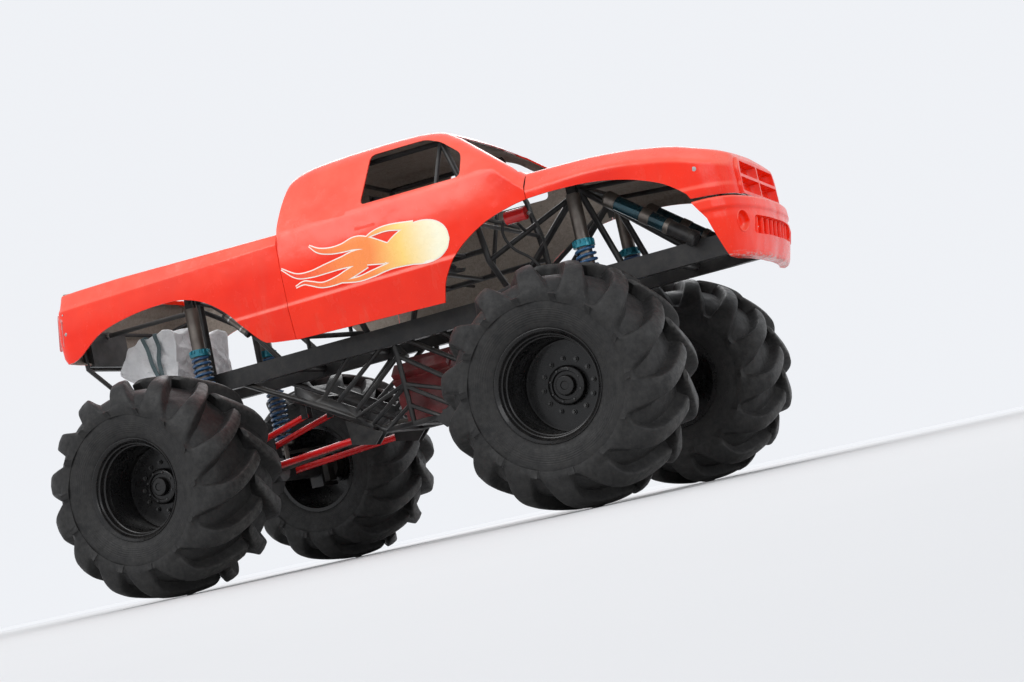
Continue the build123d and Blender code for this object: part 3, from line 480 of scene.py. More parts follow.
def red_paint():
    """Thick glossy red in long soft waves: streaks low down, painted sky reflection on top, scraped at its
    lowest lip.
    """
    look = Look("body_red")
    fresh, deep = (0.92, 0.026, 0.003), (0.80, 0.015, 0.002)
    # The first of these, a pale pink, is a painted sky reflection for what faces up.
    painted_sky_tint, dusty, bare = (0.93, 0.30, 0.21), (0.55, 0.16, 0.10), (0.50, 0.44, 0.41)
    base = look.mix(look.band(look.cloud(1.7, 4.0), 0.35, 0.7), fresh, deep)
    streaks = look.band(look.cloud(5.0, 7.0, 0.65, squeeze=(1.0, 1.0, 0.22)), 0.55, 0.80)
    height = look.part_of(2)
    low = look.band(height, 2.35, 1.72)
    film = look.times(streaks, look.plus(look.times(low, 0.28), 0.06))
    specks = look.band(look.cloud(90.0, 3.0), 0.66, 0.74)
    dirt = look.maths("MAXIMUM", film, look.times(specks, look.times(low, 0.5)))
    # Painted sky reflection: a pale tint on what faces up, uneven in strength.
    uneven_sky_sheen = look.band(look.cloud(3.1, 5.0), 0.25, 0.75, 0.22, 0.42)
    painted_sky_sheen = look.times(look.band(look.facing_up(), -0.01, 0.22), uneven_sky_sheen)
    shade = look.mix(dirt, look.mix(painted_sky_sheen, base, painted_sky_tint), dusty)
    scratches = look.band(look.cloud(24.0, 6.0, 0.7, squeeze=(1.0, 1.0, 3.0)), 0.50, 0.60)
    scraped = look.times(look.band(height, 1.505, 1.475), scratches)
    shade = look.mix(look.times(scraped, 0.75), shade, bare)
    rough = look.plus(look.uneven(9.0, 0.16, 0.30), look.times(dirt, 0.7))
    waves = look.plus(look.cloud(2.6, 2.0), look.times(look.cloud(9.0, 2.0), 0.16))
    look.relief(waves, 0.020)
    return look.finish(shade, rough, coat=0.10, shine=0.28)


def raw_glass_fibre():
    look = Look("raw_fibre")
    strands = look.cloud(34.0, 8.0, 0.75, distortion=1.2)
    base = look.mix(look.band(strands, 0.35, 0.65), (0.20, 0.165, 0.135), (0.33, 0.285, 0.24))
    look.relief(strands, 0.003)
    return look.finish(base, look.uneven(12.0, 0.55, 0.85))


def tyre_rubber():
    """Dusty dark rubber; the lug tops are scuffed paler, and the sidewall has fine rings."""
    look = Look("tyre_rubber")
    out = look.radius()
    patches = look.band(look.cloud(7.0, 8.0, 0.7), 0.35, 0.68)
    base = look.mix(patches, (0.006, 0.006, 0.0065), (0.016, 0.0155, 0.015))
    scuffed = look.band(out, 0.795, 0.838)
    grit = look.band(look.cloud(26.0, 9.0, 0.75), 0.40, 0.66)
    film = look.times(look.plus(look.times(scuffed, 0.40), 0.14), grit)
    shade = look.mix(film, base, (0.105, 0.100, 0.092))
    rings = look.node("ShaderNodeMath", operation="SINE")
    look.link(look.times(out, 420.0), rings.inputs[0])
    on_wall = look.times(look.band(out, 0.52, 0.50), look.band(out, 0.405, 0.42))
    ringed = look.times(look.times(rings.outputs[0], on_wall), 0.30)
    look.relief(look.plus(ringed, look.cloud(48.0, 7.0, 0.7)), 0.0022)
    wet = look.maths("SUBTRACT", look.uneven(15.0, 0.46, 0.74), look.times(scuffed, 0.14))
    return look.finish(shade, wet, shine=0.34)


def silver_cloth():
    look = Look("tarp_cloth")
    weave = look.node("ShaderNodeTexWave", Scale=180.0, Distortion=1.5)
    look.link(look.spot, weave.inputs["Vector"])
    base = look.mix(look.band(look.cloud(6.0, 6.0), 0.35, 0.68), (0.95, 0.95, 0.95), (0.78, 0.78, 0.79))
    soiled = look.band(look.cloud(3.0, 8.0, 0.7), 0.52, 0.70)
    shade = look.mix(look.times(soiled, 0.16), base, (0.30, 0.26, 0.22))
    creases = look.cloud(16.0, 6.0, 0.6, distortion=0.8)
    look.relief(look.plus(creases, look.times(weave.outputs["Fac"], 0.02)), 0.020)
    return look.finish(shade, look.uneven(20.0, 0.28, 0.45), shine=0.6)


def flame_paint():
    """Decal colour that runs from pale yellow at the head, through orange, to red at the tips."""
    look = Look("flame_paint")
    along = look.plus(look.part_of(0), look.times(look.cloud(6.0, 3.0), 0.10))
    shade = look.mix(look.band(along, -0.50, -0.05), (0.90, 0.045, 0.008), (0.93, 0.25, 0.045))
    shade = look.mix(look.band(along, 0.15, 0.42), shade, (0.95, 0.64, 0.17))
    shade = look.mix(look.band(along, 0.42, 0.72), shade, (0.95, 0.91, 0.68))
    look.relief(look.cloud(60.0, 4.0), 0.0002)
    return look.finish(shade, look.uneven(18.0, 0.20, 0.35), coat=0.4)


SKY = (0.94, 0.96, 1.0)
SKY_STRENGTH = 0.92
FLOOR_SHADE = 0.60


def pale_ground():
    """A pale floor that glows far out, up to the tone of the sky behind it."""
    look = Look("pale_ground")
    base = look.mix(look.cloud(0.7, 3.0), (FLOOR_SHADE - 0.01,) * 3, (FLOOR_SHADE + 0.01,) * 3)
    far = look.node("ShaderNodeVectorMath", operation="LENGTH")
    look.link(look.spot, far.inputs[0])
    glow = look.band(far.outputs["Value"], 4.0, 22.0, 0.0, (1 - FLOOR_SHADE) * SKY_STRENGTH)
    look.bsdf.inputs["Emission Color"].default_value = (*SKY, 1)
    look.link(glow, look.bsdf.inputs["Emission Strength"])
    return look.finish(base, look.band(look.cloud(2.0), 0, 1, 0.75, 0.85))


RED = red_paint()
RAW = raw_glass_fibre()
RUBBER = tyre_rubber()
FRAME_BLACK = painted("frame_black", (0.012, 0.012, 0.013), (0.028, 0.027, 0.027),
                      rough=(0.28, 0.5), coat=0.10, shine=0.35)
RIM_BLACK = painted("rim_black", (0.005, 0.005, 0.0055), (0.012, 0.0115, 0.0115),
                    rough=(0.20, 0.36), coat=0.16, dust=0.07, relief=0.0001, shine=0.3)
IRON = painted("dark_iron", (0.045, 0.042, 0.040), (0.085, 0.075, 0.066),
               rough=(0.5, 0.75), dust=0.6, metallic=0.4)
STEEL = painted("bright_steel", (0.55, 0.55, 0.54), (0.36, 0.35, 0.34),
                rough=(0.22, 0.42), dust=0.2, metallic=0.95)
SHOCK_GREY = painted("shock_grey", (0.20, 0.175, 0.155), (0.11, 0.095, 0.085),
                     rough=(0.3, 0.5), coat=0.1, metallic=0.8)
TEAL = painted("teal_anodised", (0.008, 0.24, 0.32), (0.006, 0.13, 0.18),
               rough=(0.22, 0.4), coat=0.4, dust=0.2, metallic=0.5)
SPRING_BLUE = painted("spring_blue", (0.010, 0.085, 0.20), (0.008, 0.036, 0.12),
                      rough=(0.2, 0.4), coat=0.4, dust=0.15)
LINK_RED = painted("link_red", (0.80, 0.014, 0.014), (0.58, 0.008, 0.010),
                   rough=(0.16, 0.30), coat=0.35, dust=0.10)
ENGINE_RED = painted("engine_red", (0.20, 0.012, 0.014), (0.10, 0.010, 0.012),
                     rough=(0.35, 0.6), coat=0.2, dust=0.4)
PLASTIC = painted("black_plastic", (0.016, 0.016, 0.017), (0.034, 0.033, 0.032),
                  rough=(0.45, 0.7), dust=0.4)
HOSE_BLACK = painted("hose_rubber", (0.013, 0.013, 0.014), (0.030, 0.029, 0.028), rough=(0.5, 0.72))
SEAT_CLOTH = painted("seat_cloth", (0.018, 0.018, 0.021), (0.036, 0.034, 0.036),
                     rough=(0.8, 0.95), dust=0.2, grain=300.0, relief=0.002)
ALLOY = painted("core_alloy", (0.10, 0.10, 0.10), (0.05, 0.05, 0.05), rough=(0.4, 0.6), metallic=0.7)
LAMP_RED = painted("lamp_red", (0.62, 0.09, 0.07), (0.42, 0.03, 0.03),
                   rough=(0.1, 0.2), coat=1.0, dust=0.15)
CREAM = painted("decal_cream", (0.95, 0.86, 0.78), (0.90, 0.78, 0.68),
                rough=(0.2, 0.35), coat=0.7, dust=0.12, relief=0.0002)
FLAME = flame_paint()
DEEP_TEAL = painted("reservoir_teal", (0.010, 0.055, 0.075), (0.006, 0.022, 0.030),
                    rough=(0.16, 0.30), coat=0.4, dust=0.15, metallic=0.6)
CELL_RED = painted("cell_red", (0.86, 0.016, 0.016), (0.66, 0.008, 0.010),
                   rough=(0.14, 0.26), coat=0.4, dust=0.08)
WEBBING = painted("strap_webbing", (0.110, 0.160, 0.170), (0.060, 0.090, 0.100),
                  rough=(0.6, 0.8), grain=300.0, relief=0.001)
TARP_SILVER = silver_cloth()
GROUND = pale_ground()
RIM_BOLT = painted("rim_bolts", (0.10, 0.10, 0.10), (0.05, 0.05, 0.05), rough=(0.3, 0.5), metallic=0.8)


def dress(obj, *materials):
    slots = obj.data.materials
    while len(slots) < len(materials):
        slots.append(None)
    for index, material in enumerate(materials):
        slots[index] = material


def ready(obj, slot, *materials):
    """Finishes a piece that is fixed to the chassis."""
    dress(obj, *materials)
    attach(obj, "chassis")
    return obj


# Kept CAD pieces: given their finish, then welded and shaded round by a modifier
WELD_GAP = 0.00005
SHARP_ANGLE = 64.0


def rounding_group():
    group = bpy.data.node_groups.new("round_shading", "GeometryNodeTree")
    group.interface.new_socket("Geometry", in_out="INPUT", socket_type="NodeSocketGeometry")
    group.interface.new_socket("Geometry", in_out="OUTPUT", socket_type="NodeSocketGeometry")
    source = group.nodes.new("NodeGroupInput")
    result = group.nodes.new("NodeGroupOutput")
    weld = group.nodes.new("GeometryNodeMergeByDistance")
    weld.inputs["Distance"].default_value = WELD_GAP
    normal = group.nodes.new("GeometryNodeSetMeshNormal")
    normal.inputs["Remove Custom"].default_value = True
    angle = group.nodes.new("GeometryNodeInputMeshEdgeAngle")
    sharp = group.nodes.new("FunctionNodeCompare")
    sharp.inputs[1].default_value = math.radians(SHARP_ANGLE)
    group.links.new(source.outputs[0], weld.inputs[0])
    group.links.new(weld.outputs[0], normal.inputs["Mesh"])
    group.links.new(angle.outputs[0], sharp.inputs[0])
    group.links.new(sharp.outputs[0], normal.inputs["Edge Sharpness"])
    group.links.new(normal.outputs[0], result.inputs[0])
    return group


KEPT = {
    "frame_rails": FRAME_BLACK, "belly_cage": FRAME_BLACK, "roll_cage": FRAME_BLACK, "tow_eyes": FRAME_BLACK,
    "shell_mounts": FRAME_BLACK, "links": LINK_RED, "driveline": IRON, "engine": ENGINE_RED,
    "shock_tubes": SHOCK_GREY, "accumulator": CELL_RED, "radiator": ALLOY, "steering_wheel": PLASTIC,
}
for place in ("front", "rear"):
    KEPT[f"tower_{place}"] = FRAME_BLACK
    KEPT[f"axle_{place}"] = FRAME_BLACK
    KEPT[f"ram_{place}"] = IRON
    KEPT[f"steer_rod_{place}"] = STEEL
    KEPT[f"knuckle_{place}_left"] = IRON
    KEPT[f"knuckle_{place}_right"] = IRON
rounding = rounding_group()
for name, material in KEPT.items():
    dress(NODES[name], material)
    NODES[name].modifiers.new("round_shading", "NODES").node_group = rounding


# Tyres
def carcass_profile():
    half = spline([
        # across, radius
        (0.384, 0.364), (0.401, 0.372), (0.413, 0.386), (0.424, 0.410), (0.441, 0.455), (0.451, 0.505),
        (0.453, 0.548), (0.446, 0.592), (0.424, 0.638), (0.384, 0.682), (0.325, 0.712), (0.230, 0.732),
        (0.110, 0.741), (0.0, 0.743),
    ], 30)
    rows = [tuple(p) for p in half]
    return rows + [(-y, r) for y, r in rows[-2::-1]]


def add_lug(bag, turn, side):
    """One curved bar from past the tread's middle, widening to a foot that runs into the sidewall."""
    path = spline([
        # across, radius of the top face, depth below it
        (-0.050, 0.823, 0.100), (-0.030, 0.834, 0.104), (0.080, 0.835, 0.106), (0.200, 0.829, 0.108),
        (0.300, 0.815, 0.112), (0.372, 0.786, 0.112), (0.420, 0.742, 0.104), (0.448, 0.688, 0.082),
        (0.461, 0.634, 0.050), (0.464, 0.592, 0.026), (0.456, 0.552, 0.008),
    ], 28)
    tangent = headings(path[:, :2])
    inward = np.column_stack([-tangent[:, 1], tangent[:, 0]])
    inward *= np.where(inward[:, 1] > 0, -1, 1)[:, None]
    cross = (
        # share of the half width, share of the depth
        (1.52, 1.0), (1.34, 0.86), (1.20, 0.62), (1.10, 0.34), (1.03, 0.14), (0.95, 0.035), (0.82, 0.0),
        (0.45, 0.0), (0.0, 0.0),
    )
    cross = [(-w, d) for w, d in cross] + [(w, d) for w, d in cross[-2::-1]]
    width_places = (0.0, 0.06, 0.40, 0.62, 0.80, 0.92, 1.0)
    half_widths = (0.034, 0.048, 0.058, 0.068, 0.086, 0.102, 0.096)
    rows = []
    for i, (across, top, depth) in enumerate(path):
        bend = LUG_BEND[0] + LUG_BEND[1] * across + LUG_BEND[2] * across ** 2
        wide = np.interp(i / (len(path) - 1), width_places, half_widths)
        row = []
        for offset, below in cross:
            deep = depth * below + 0.010 * max(0.0, offset) * (1 - below)
            if i == 0:
                deep = max(deep, 0.016)
            y = across + inward[i, 0] * deep
            r = top + inward[i, 1] * deep
            angle = turn - (bend + wide * offset) / max(r, 0.55)
            row.append((r * math.sin(angle), side * y, r * math.cos(angle)))
        rows.append(row)
    first = len(bag.points)
    bag.grid(rows, flip=side > 0)
    end = range(first, first + len(cross))
    bag.cap(end if side < 0 else reversed(end))


def tyre_mesh(name):
    bag = Bag()
    bag.turned(carcass_profile(), 112)
    pitch = 2 * math.pi / LUG_COUNT
    for n in range(LUG_COUNT):
        add_lug(bag, pitch * n, 1)
        add_lug(bag, pitch * (n + 0.5), -1)
    return bag.make(name, 50.0)


# Rims: outer face towards +Y; mirrored for the right side
def rim_bag(side):
    bag = Bag()
    inner = RIM_R - 0.012
    middle = inner - RIM_STEP
    deep = inner - 2 * RIM_STEP
    first = RIM_HALF - RIM_STEP_LONG
    second = first - RIM_STEP_LONG
    barrel = [
        # inner lip and outside of the barrel
        (-RIM_HALF, inner), *beside(-RIM_HALF, FLANGE_R, (0, -0.003), (0.003, 0), (0.008, 0)),
        (-RIM_HALF + 0.012, RIM_R), (RIM_HALF - 0.012, RIM_R),
        # outer lip
        *beside(RIM_HALF, FLANGE_R, (-0.009, -0.002), (-0.004, 0), (0.001, -0.003), (0.002, -0.008),
                (-0.003, -0.013)),
        *beside(RIM_HALF, inner, (-0.010, 0.012), (-0.018, 0.004)),
        # first step inwards
        *beside(first, inner, (0.018, 0.001), (0.008, -0.002), (0.002, -0.007)),
        *beside(first, middle, (0, 0.001), (-0.006, 0)),
        # second step inwards
        *beside(second, middle, (0.018, 0), (0.008, -0.003), (0.002, -0.008)),
        *beside(second, deep, (0, 0.001), (-0.030, -0.001), (-0.042, -0.008), (-0.050, -0.004)),
        # down to the disc and over it to the hub
        (0.060, deep - 0.004), *beside(DISC, deep, (0.028, -0.006), (0.018, -0.012), (0.016, -0.024)),
        (DISC + 0.016, HUB_R - 0.02), (DISC, HUB_R - 0.02), (DISC, inner),
    ]
    bag.turned(barrel, 96, closed=True, flip=True)
    hub = beside(
        # ahead of the hub's face, radius
        HUB_FACE, 0, (-0.150, 0.064), (-0.150, HUB_R), (-0.018, HUB_R), (-0.006, HUB_R - 0.005),
        (0, HUB_R - 0.016), (0, 0.100), (-0.004, 0.097), (-0.016, 0.094), (-0.016, 0.072), (0.012, 0.068),
        (0.020, 0.063), (0.023, 0.050), (0.022, 0.030), (0.016, 0.026), (0.016, 0.0005),
    )
    bag.turned(hub, 64, flip=True)
    for angle in round_steps(WHEEL_NUTS):
        x, z = NUT_RING * math.cos(angle), NUT_RING * math.sin(angle)
        bag.bolt((x, DISC + 0.022, z), (x, DISC + 0.041, z), 0.0125, 0.010, 6, kind=1)
        bag.drum((x, DISC + 0.020, z), (x, DISC + 0.028, z), [(0, 0.017), (1, 0.0165)], 14, kind=1)
    for angle in round_steps(HUB_BOLTS) + math.pi / HUB_BOLTS:
        x, z = HUB_BOLT_RING * math.cos(angle), HUB_BOLT_RING * math.sin(angle)
        bag.bolt((x, HUB_FACE - 0.003, z), (x, HUB_FACE + 0.008, z), 0.0085, 0.007, 6, kind=1)
    if side < 0:
        bag.points = [(x, -y, z) for x, y, z in bag.points]
        bag.faces = [face[::-1] for face in bag.faces]
    return bag


def make_wheels():
    """One tyre mesh serves all four wheels, and one rim mesh both wheels of a side."""
    tyre_data = None
    for hand, side in (("left", 1), ("right", -1)):
        rim_data = None
        for place, x in (("front", FRONT_X), ("rear", REAR_X)):
            corner = f"{place}_{hand}"
            if tyre_data is None:
                tyre = tyre_mesh(f"lugged_{corner}")
                dress(tyre, RUBBER)
                tyre_data = tyre.data
            else:
                tyre = new_object(f"lugged_{corner}", tyre_data)
            if rim_data is None:
                rim = rim_bag(side).make(f"stepped_{corner}", 30.0)
                dress(rim, RIM_BLACK, RIM_BOLT)
                rim_data = rim.data
            else:
                rim = new_object(f"stepped_{corner}", rim_data)
            for piece, node, slot in ((tyre, "tyre", "tyre"), (rim, "rim", "rim_black")):
                piece.location = (x, side * WHEEL_Y, AXLE_Z)
                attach(piece, f"wheel_{corner}")
                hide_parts(f"{node}_{corner}")


make_wheels()


# Shell outlines, seen from the side
REAR_ARCH = (
    (-2.735, 2.018), (-2.635, 2.056), (-2.405, 2.190), (-2.061, 2.255), (-1.738, 2.265), (-1.553, 2.240),
    (-1.381, 2.170), (-1.222, 2.050), (-1.099, 1.914), (-0.977, 1.778), (-0.905, 1.740), (-0.670, 1.708),
)
CAB_ARCH = (
    (FRONT_X - 0.980, 1.672), (FRONT_X - 0.920, 1.840), (FRONT_X - 0.770, 2.015), (FRONT_X - 0.540, 2.145),
    (FRONT_X - 0.320, 2.205), (CAB_FRONT_X, 2.224),
)
CLIP_ARCH = (
    (CAB_FRONT_X, 2.225), (FRONT_X + 0.030, 2.226), (FRONT_X + 0.320, 2.206), (FRONT_X + 0.580, 2.150),
    (FRONT_X + 0.790, 2.068), (FRONT_X + 0.890, 2.002), (FRONT_X + 0.960, 1.940), (FRONT_X + 0.975, 1.906),
)
CAB_TOP = (
    (BED_FRONT_X, 2.535), (-0.655, 2.700), (-0.600, 2.920), (-0.500, 3.010), (-0.200, 3.040), (0.360, 3.030),
    (0.720, 2.985), (0.900, 2.880), (1.130, 2.682), (CAB_FRONT_X, 2.440),
)
WINDOW = ((0.075, 2.558), (0.172, 2.935), (0.640, 2.920), (0.775, 2.860), (0.945, 2.715), (0.925, 2.535))
QUARTER = ((-0.565, 2.562), (-0.434, 2.872), (-0.325, 2.965), (0.035, 2.958), (-0.052, 2.512))
HANDLE = ((0.012, 2.372), (0.012, 2.396), (0.188, 2.390), (0.188, 2.366))
TAIL_LAMP = ((-2.866, 2.449), (-2.781, 2.383), (-2.809, 2.155), (-2.901, 2.141))

# Openings seen from ahead: across, height
WINDSCREEN = ((-0.80, 2.452), (0.80, 2.452), (0.600, 2.905), (-0.600, 2.905))
REAR_WINDOW = ((-0.520, 2.600), (0.520, 2.600), (0.470, 2.880), (-0.470, 2.880))


def rounded_outline(points, radius, steps=5):
    closed = list(points) + list(points[:2])
    line = softened([points[-1]] + closed, [radius] * (len(closed) - 1), [1] * len(closed), steps)
    per = steps + 1
    return [tuple(p) for p in line[per:per + per * len(points)]]


def side_cutters(outline, depth):
    """Cutters for both sides that take off only the outer depth of the panel."""
    return [
        prism(outline, lambda z, s=s: s * (side_half(z) - depth), lambda z, s=s: s * (side_half(z) + 0.2))
        for s in (-1, 1)
    ]


def arch_cutter(before, arch, count, after):
    """A cutter through both sides for what lies below an arch, between the corners before and after it."""
    outline = [*before, *(tuple(p) for p in spline(arch, count)), *after]
    return prism(outline, -CUT_HALF, CUT_HALF)


# Cab
COWL_X = 0.920
WALL_TOP = 2.535
ROOF_RISE = 0.450


def cab_section(x, top):
    """A line over the cab at x, whose roof blends into the back wall and into the hood."""
    front = share_between(x, COWL_X, CAB_FRONT_X)
    shoulder = np.interp(front, (0, 1), (0.060, 0.130))
    belt = min(BELT_Z, top - shoulder)
    low_belt = min(2.29, belt - 0.06)
    rear = share_between(top, WALL_TOP, WALL_TOP + ROOF_RISE)
    radius = np.interp(front, (0, 1), (np.interp(rear, (0, 1), (0.02, 0.13)), 0.10))
    edge = np.interp(front, (0, 1), (side_half(top - 0.02), 0.800))
    at_belt = np.interp(front, (0, 1), (side_half(belt), 0.899))
    points = [
        (BODY_HALF - TUCK, SKIRT_Z), (BODY_HALF, CREASE_Z), (BODY_HALF - 0.007, CREASE_Z + 0.03),
        (BODY_HALF - 0.001, low_belt), (at_belt, belt), (edge, top - 0.022), (edge * 0.5, top - 0.006),
        (0.0, top),
    ]
    half = softened(points, (0.010, 0.010, 0.10, 0.03, radius, 0.15), (8, 1, 9, 5, 9, 5, 6), 5)
    return both_sides([(x, y, z) for y, z in half])


def shell_piece(name, bag, centre, cutters, node):
    """A red skin with a raw inside, cut open and put in the place of a CAD node."""
    obj = bag.make(name)
    face_out(obj, centre)
    dress(obj, RED, RAW)
    thicken(obj, PANEL)
    cut(obj, cutters)
    ready(obj, "red_body", RED, RAW)
    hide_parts(node)


def make_cab():
    line = spline(CAB_TOP[:8], 84)
    screen = even([line[-1]] + [tuple(p) for p in CAB_TOP[8:]], 26)
    outline = np.vstack([line, screen[1:]])
    bag = Bag()
    bag.grid([cab_section(x, z) for x, z in outline])
    window = rounded_outline(WINDOW, 0.045)
    cutters = [
        arch_cutter([(-0.90, 1.3), (-0.90, 1.707), (-0.67, 1.706)], CAB_ARCH, 28, [(1.7, 2.224), (1.7, 1.3)]),
        prism(WINDSCREEN, 0.760, 1.700, axis="x"),
        prism(rounded_outline(REAR_WINDOW, 0.05), -0.800, -0.500, axis="x"),
        prism(window, 0.50, 1.10),
        prism(window, -1.10, -0.50),
    ]
    cutters += side_cutters(rounded_outline(QUARTER, 0.035), 0.005)
    cutters += side_cutters(rounded_outline(HANDLE, 0.010, 3), 0.008)
    shell_piece("cab_skin", bag, (0.2, 0, 2.2), cutters, "cab_shell")
    wall = Bag()
    half, low, high = 0.845, 2.150, 2.534
    back, face = BED_FRONT_X + 0.001, BED_FRONT_X + 0.013
    for x in (back, face):
        rows = [[(x, y, z) for y in np.linspace(-half, half, 24)] for z in np.linspace(low, high, 8)]
        wall.grid(rows, flip=x == back)
    wall.box((back, -half, low), (face, half, low + 0.006))
    ready(wall.make("cab_back_wall"), "red_body", RAW)


# Bed
def bed_plan():
    corner = spline([
        (TAIL_X + 0.330, BODY_HALF), (TAIL_X + 0.130, BODY_HALF - 0.020), (TAIL_X + 0.045, BODY_HALF - 0.072),
        (TAIL_X + 0.003, BODY_HALF - 0.190), (TAIL_X, BODY_HALF - 0.300),
    ], 34)
    side = even([(BED_FRONT_X - SEAM, BODY_HALF), (TAIL_X + 0.330, BODY_HALF)], 60)
    back = even([(TAIL_X, BODY_HALF - 0.300), (TAIL_X, 0.0)], 14)
    return both_sides(np.vstack([side[:-1], corner, back[1:]]))


def tail_lean(z):
    """How far ahead of its rearmost line the tail's panel lies at height z."""
    return float(np.interp(z, (2.02, 2.06, 2.23, 2.38, 2.585), (0.085, 0.020, 0.0, 0.020, 0.110)))


def tail_half(x):
    """Half width of the bed's plan where it narrows to the tail."""
    return float(np.interp(x, (TAIL_X + 0.045, TAIL_X + 0.130, TAIL_X + 0.330), (0.828, 0.880, 0.900)))


def make_bed():
    plan = bed_plan()
    rows = []
    for (x, y), (nx, ny) in zip(plan, inward_of(plan)):
        top = np.interp(x, (-2.81, -2.20, BED_FRONT_X), (2.588, 2.585, 2.535))
        points = [
            # drawn in, height
            (TUCK, SKIRT_Z), (0.0, CREASE_Z), (0.007, CREASE_Z + 0.03), (0.002, 2.29), (0.010, 2.455),
            (0.022, 2.475), (0.050, top), (0.115, top - 0.002), (0.118, top - 0.040),
        ]
        radii = (0.010, 0.010, 0.10, 0.010, 0.012, 0.018, 0.010)
        section = softened(points, radii, (8, 1, 9, 5, 1, 4, 3, 2), 5)
        row = []
        for drawn, z in section:
            lean = tail_lean(z) * max(0.0, nx) ** 1.5
            row.append((x + nx * drawn + lean, y + ny * drawn, z))
        rows.append(row)
    bag = Bag()
    bag.grid(rows)
    before = [(-3.2, 1.3), (-3.2, 2.020), (-2.850, 2.020)]
    cutter = arch_cutter(before, REAR_ARCH, 44, [(-0.5, 1.700), (-0.5, 1.3)])
    shell_piece("bed_skin", bag, (-1.8, 0, 2.2), [cutter], "bed_shell")


def add_band(bag, centre_line, widths, side, proud, kind):
    """A thin painted band along a line on the shell's side, with a half width at each of its points."""
    line = spline([(x, z, w) for (x, z), w in zip(centre_line, widths)], BAND_ROWS)
    rows = []
    for (x, z, w), (tx, tz) in zip(line, headings(line[:, :2])):
        row = []
        for t in np.linspace(-1, 1, BAND_COLUMNS):
            px, pz = x - tz * w * t, z + tx * w * t
            row.append((px, side * (side_half(pz) + proud), pz))
        rows.append(row)
    bag.grid(rows, flip=side < 0, kind=kind)


LAMP_RINGS = (
    # share of the outline, how proud of the panel
    (1.0, -0.004), (1.0, 0.004), (0.93, 0.0078), (0.80, 0.0078), (0.76, 0.0055), (0.40, 0.0062),
    (0.02, 0.0065),
)


def make_lamps():
    for hand, s in (("left", 1), ("right", -1)):
        outline = rounded_outline(TAIL_LAMP, 0.022, 5)
        middle_x, middle_z = np.mean(np.array(outline), axis=0)
        bag = Bag()
        rings = []
        for share, proud in LAMP_RINGS:
            ring = []
            for edge_x, edge_z in outline:
                x = middle_x + (edge_x - middle_x) * share
                z = middle_z + (edge_z - middle_z) * share
                half = tail_half(x) - (BODY_HALF - side_half(z))
                ring.append((x + tail_lean(z) * 0.25, s * (half + proud), z))
            rings.append(ring)
        bag.grid(rings, wrap=True)
        obj = bag.make(f"tail_lamp_{hand}")
        face_out(obj, (-2.5, 0, 2.3))
        ready(obj, "red_body", LAMP_RED)


# Front clip
CLIP_ROWS = (
    # x, side drawn in, side top z, shoulder drawn in, shoulder z, crown z
    (CAB_FRONT_X + SEAM, 0.0, 2.290, 0.110, 2.425, 2.465),
    (FRONT_X + 0.380, 0.0, 2.290, 0.130, 2.400, 2.450),
    (FRONT_X + 0.815, 0.015, 2.225, 0.160, 2.335, 2.385),
    (FRONT_X + 1.065, 0.100, 2.160, 0.240, 2.262, 2.305),
    (NOSE_X - 0.070, 0.220, 2.120, 0.320, 2.215, 2.245),
    (NOSE_X, 0.380, 2.095, 0.420, 2.175, 2.190),
)
GRILLE = (
    # corners of each mouth: across, height
    ((0.012, 1.924), (0.484, 1.924), (0.478, 2.026), (0.012, 2.026)),
    ((0.012, 2.048), (0.474, 2.048), (0.444, 2.142), (0.012, 2.142)),
)
NOSE_ROUND = 0.022
POCKET_RINGS = (
    # behind the nose, share of the mouth
    (0.004, 1.0), (0.020, 0.985), (0.058, 0.95), (0.066, 0.91), (0.068, 0.60),
)


def clip_section(row, shrink=0.0):
    x, drawn, side_z, shoulder_in, shoulder_z, crown_z = row
    half = BODY_HALF - drawn - shrink
    shoulder = BODY_HALF - shoulder_in - shrink
    points = [
        (half - TUCK, SKIRT_Z), (half, CREASE_Z), (half - 0.006, CREASE_Z + 0.028), (half, side_z - shrink),
        (shoulder, shoulder_z - shrink), (shoulder * 0.5, crown_z - 0.008 - shrink), (0.0, crown_z - shrink),
    ]
    line = softened(points, (0.010, 0.010, 0.030, 0.035, 0.12), (10, 1, 10, 6, 8, 8), 6)
    return both_sides([(x, y, z) for y, z in line])


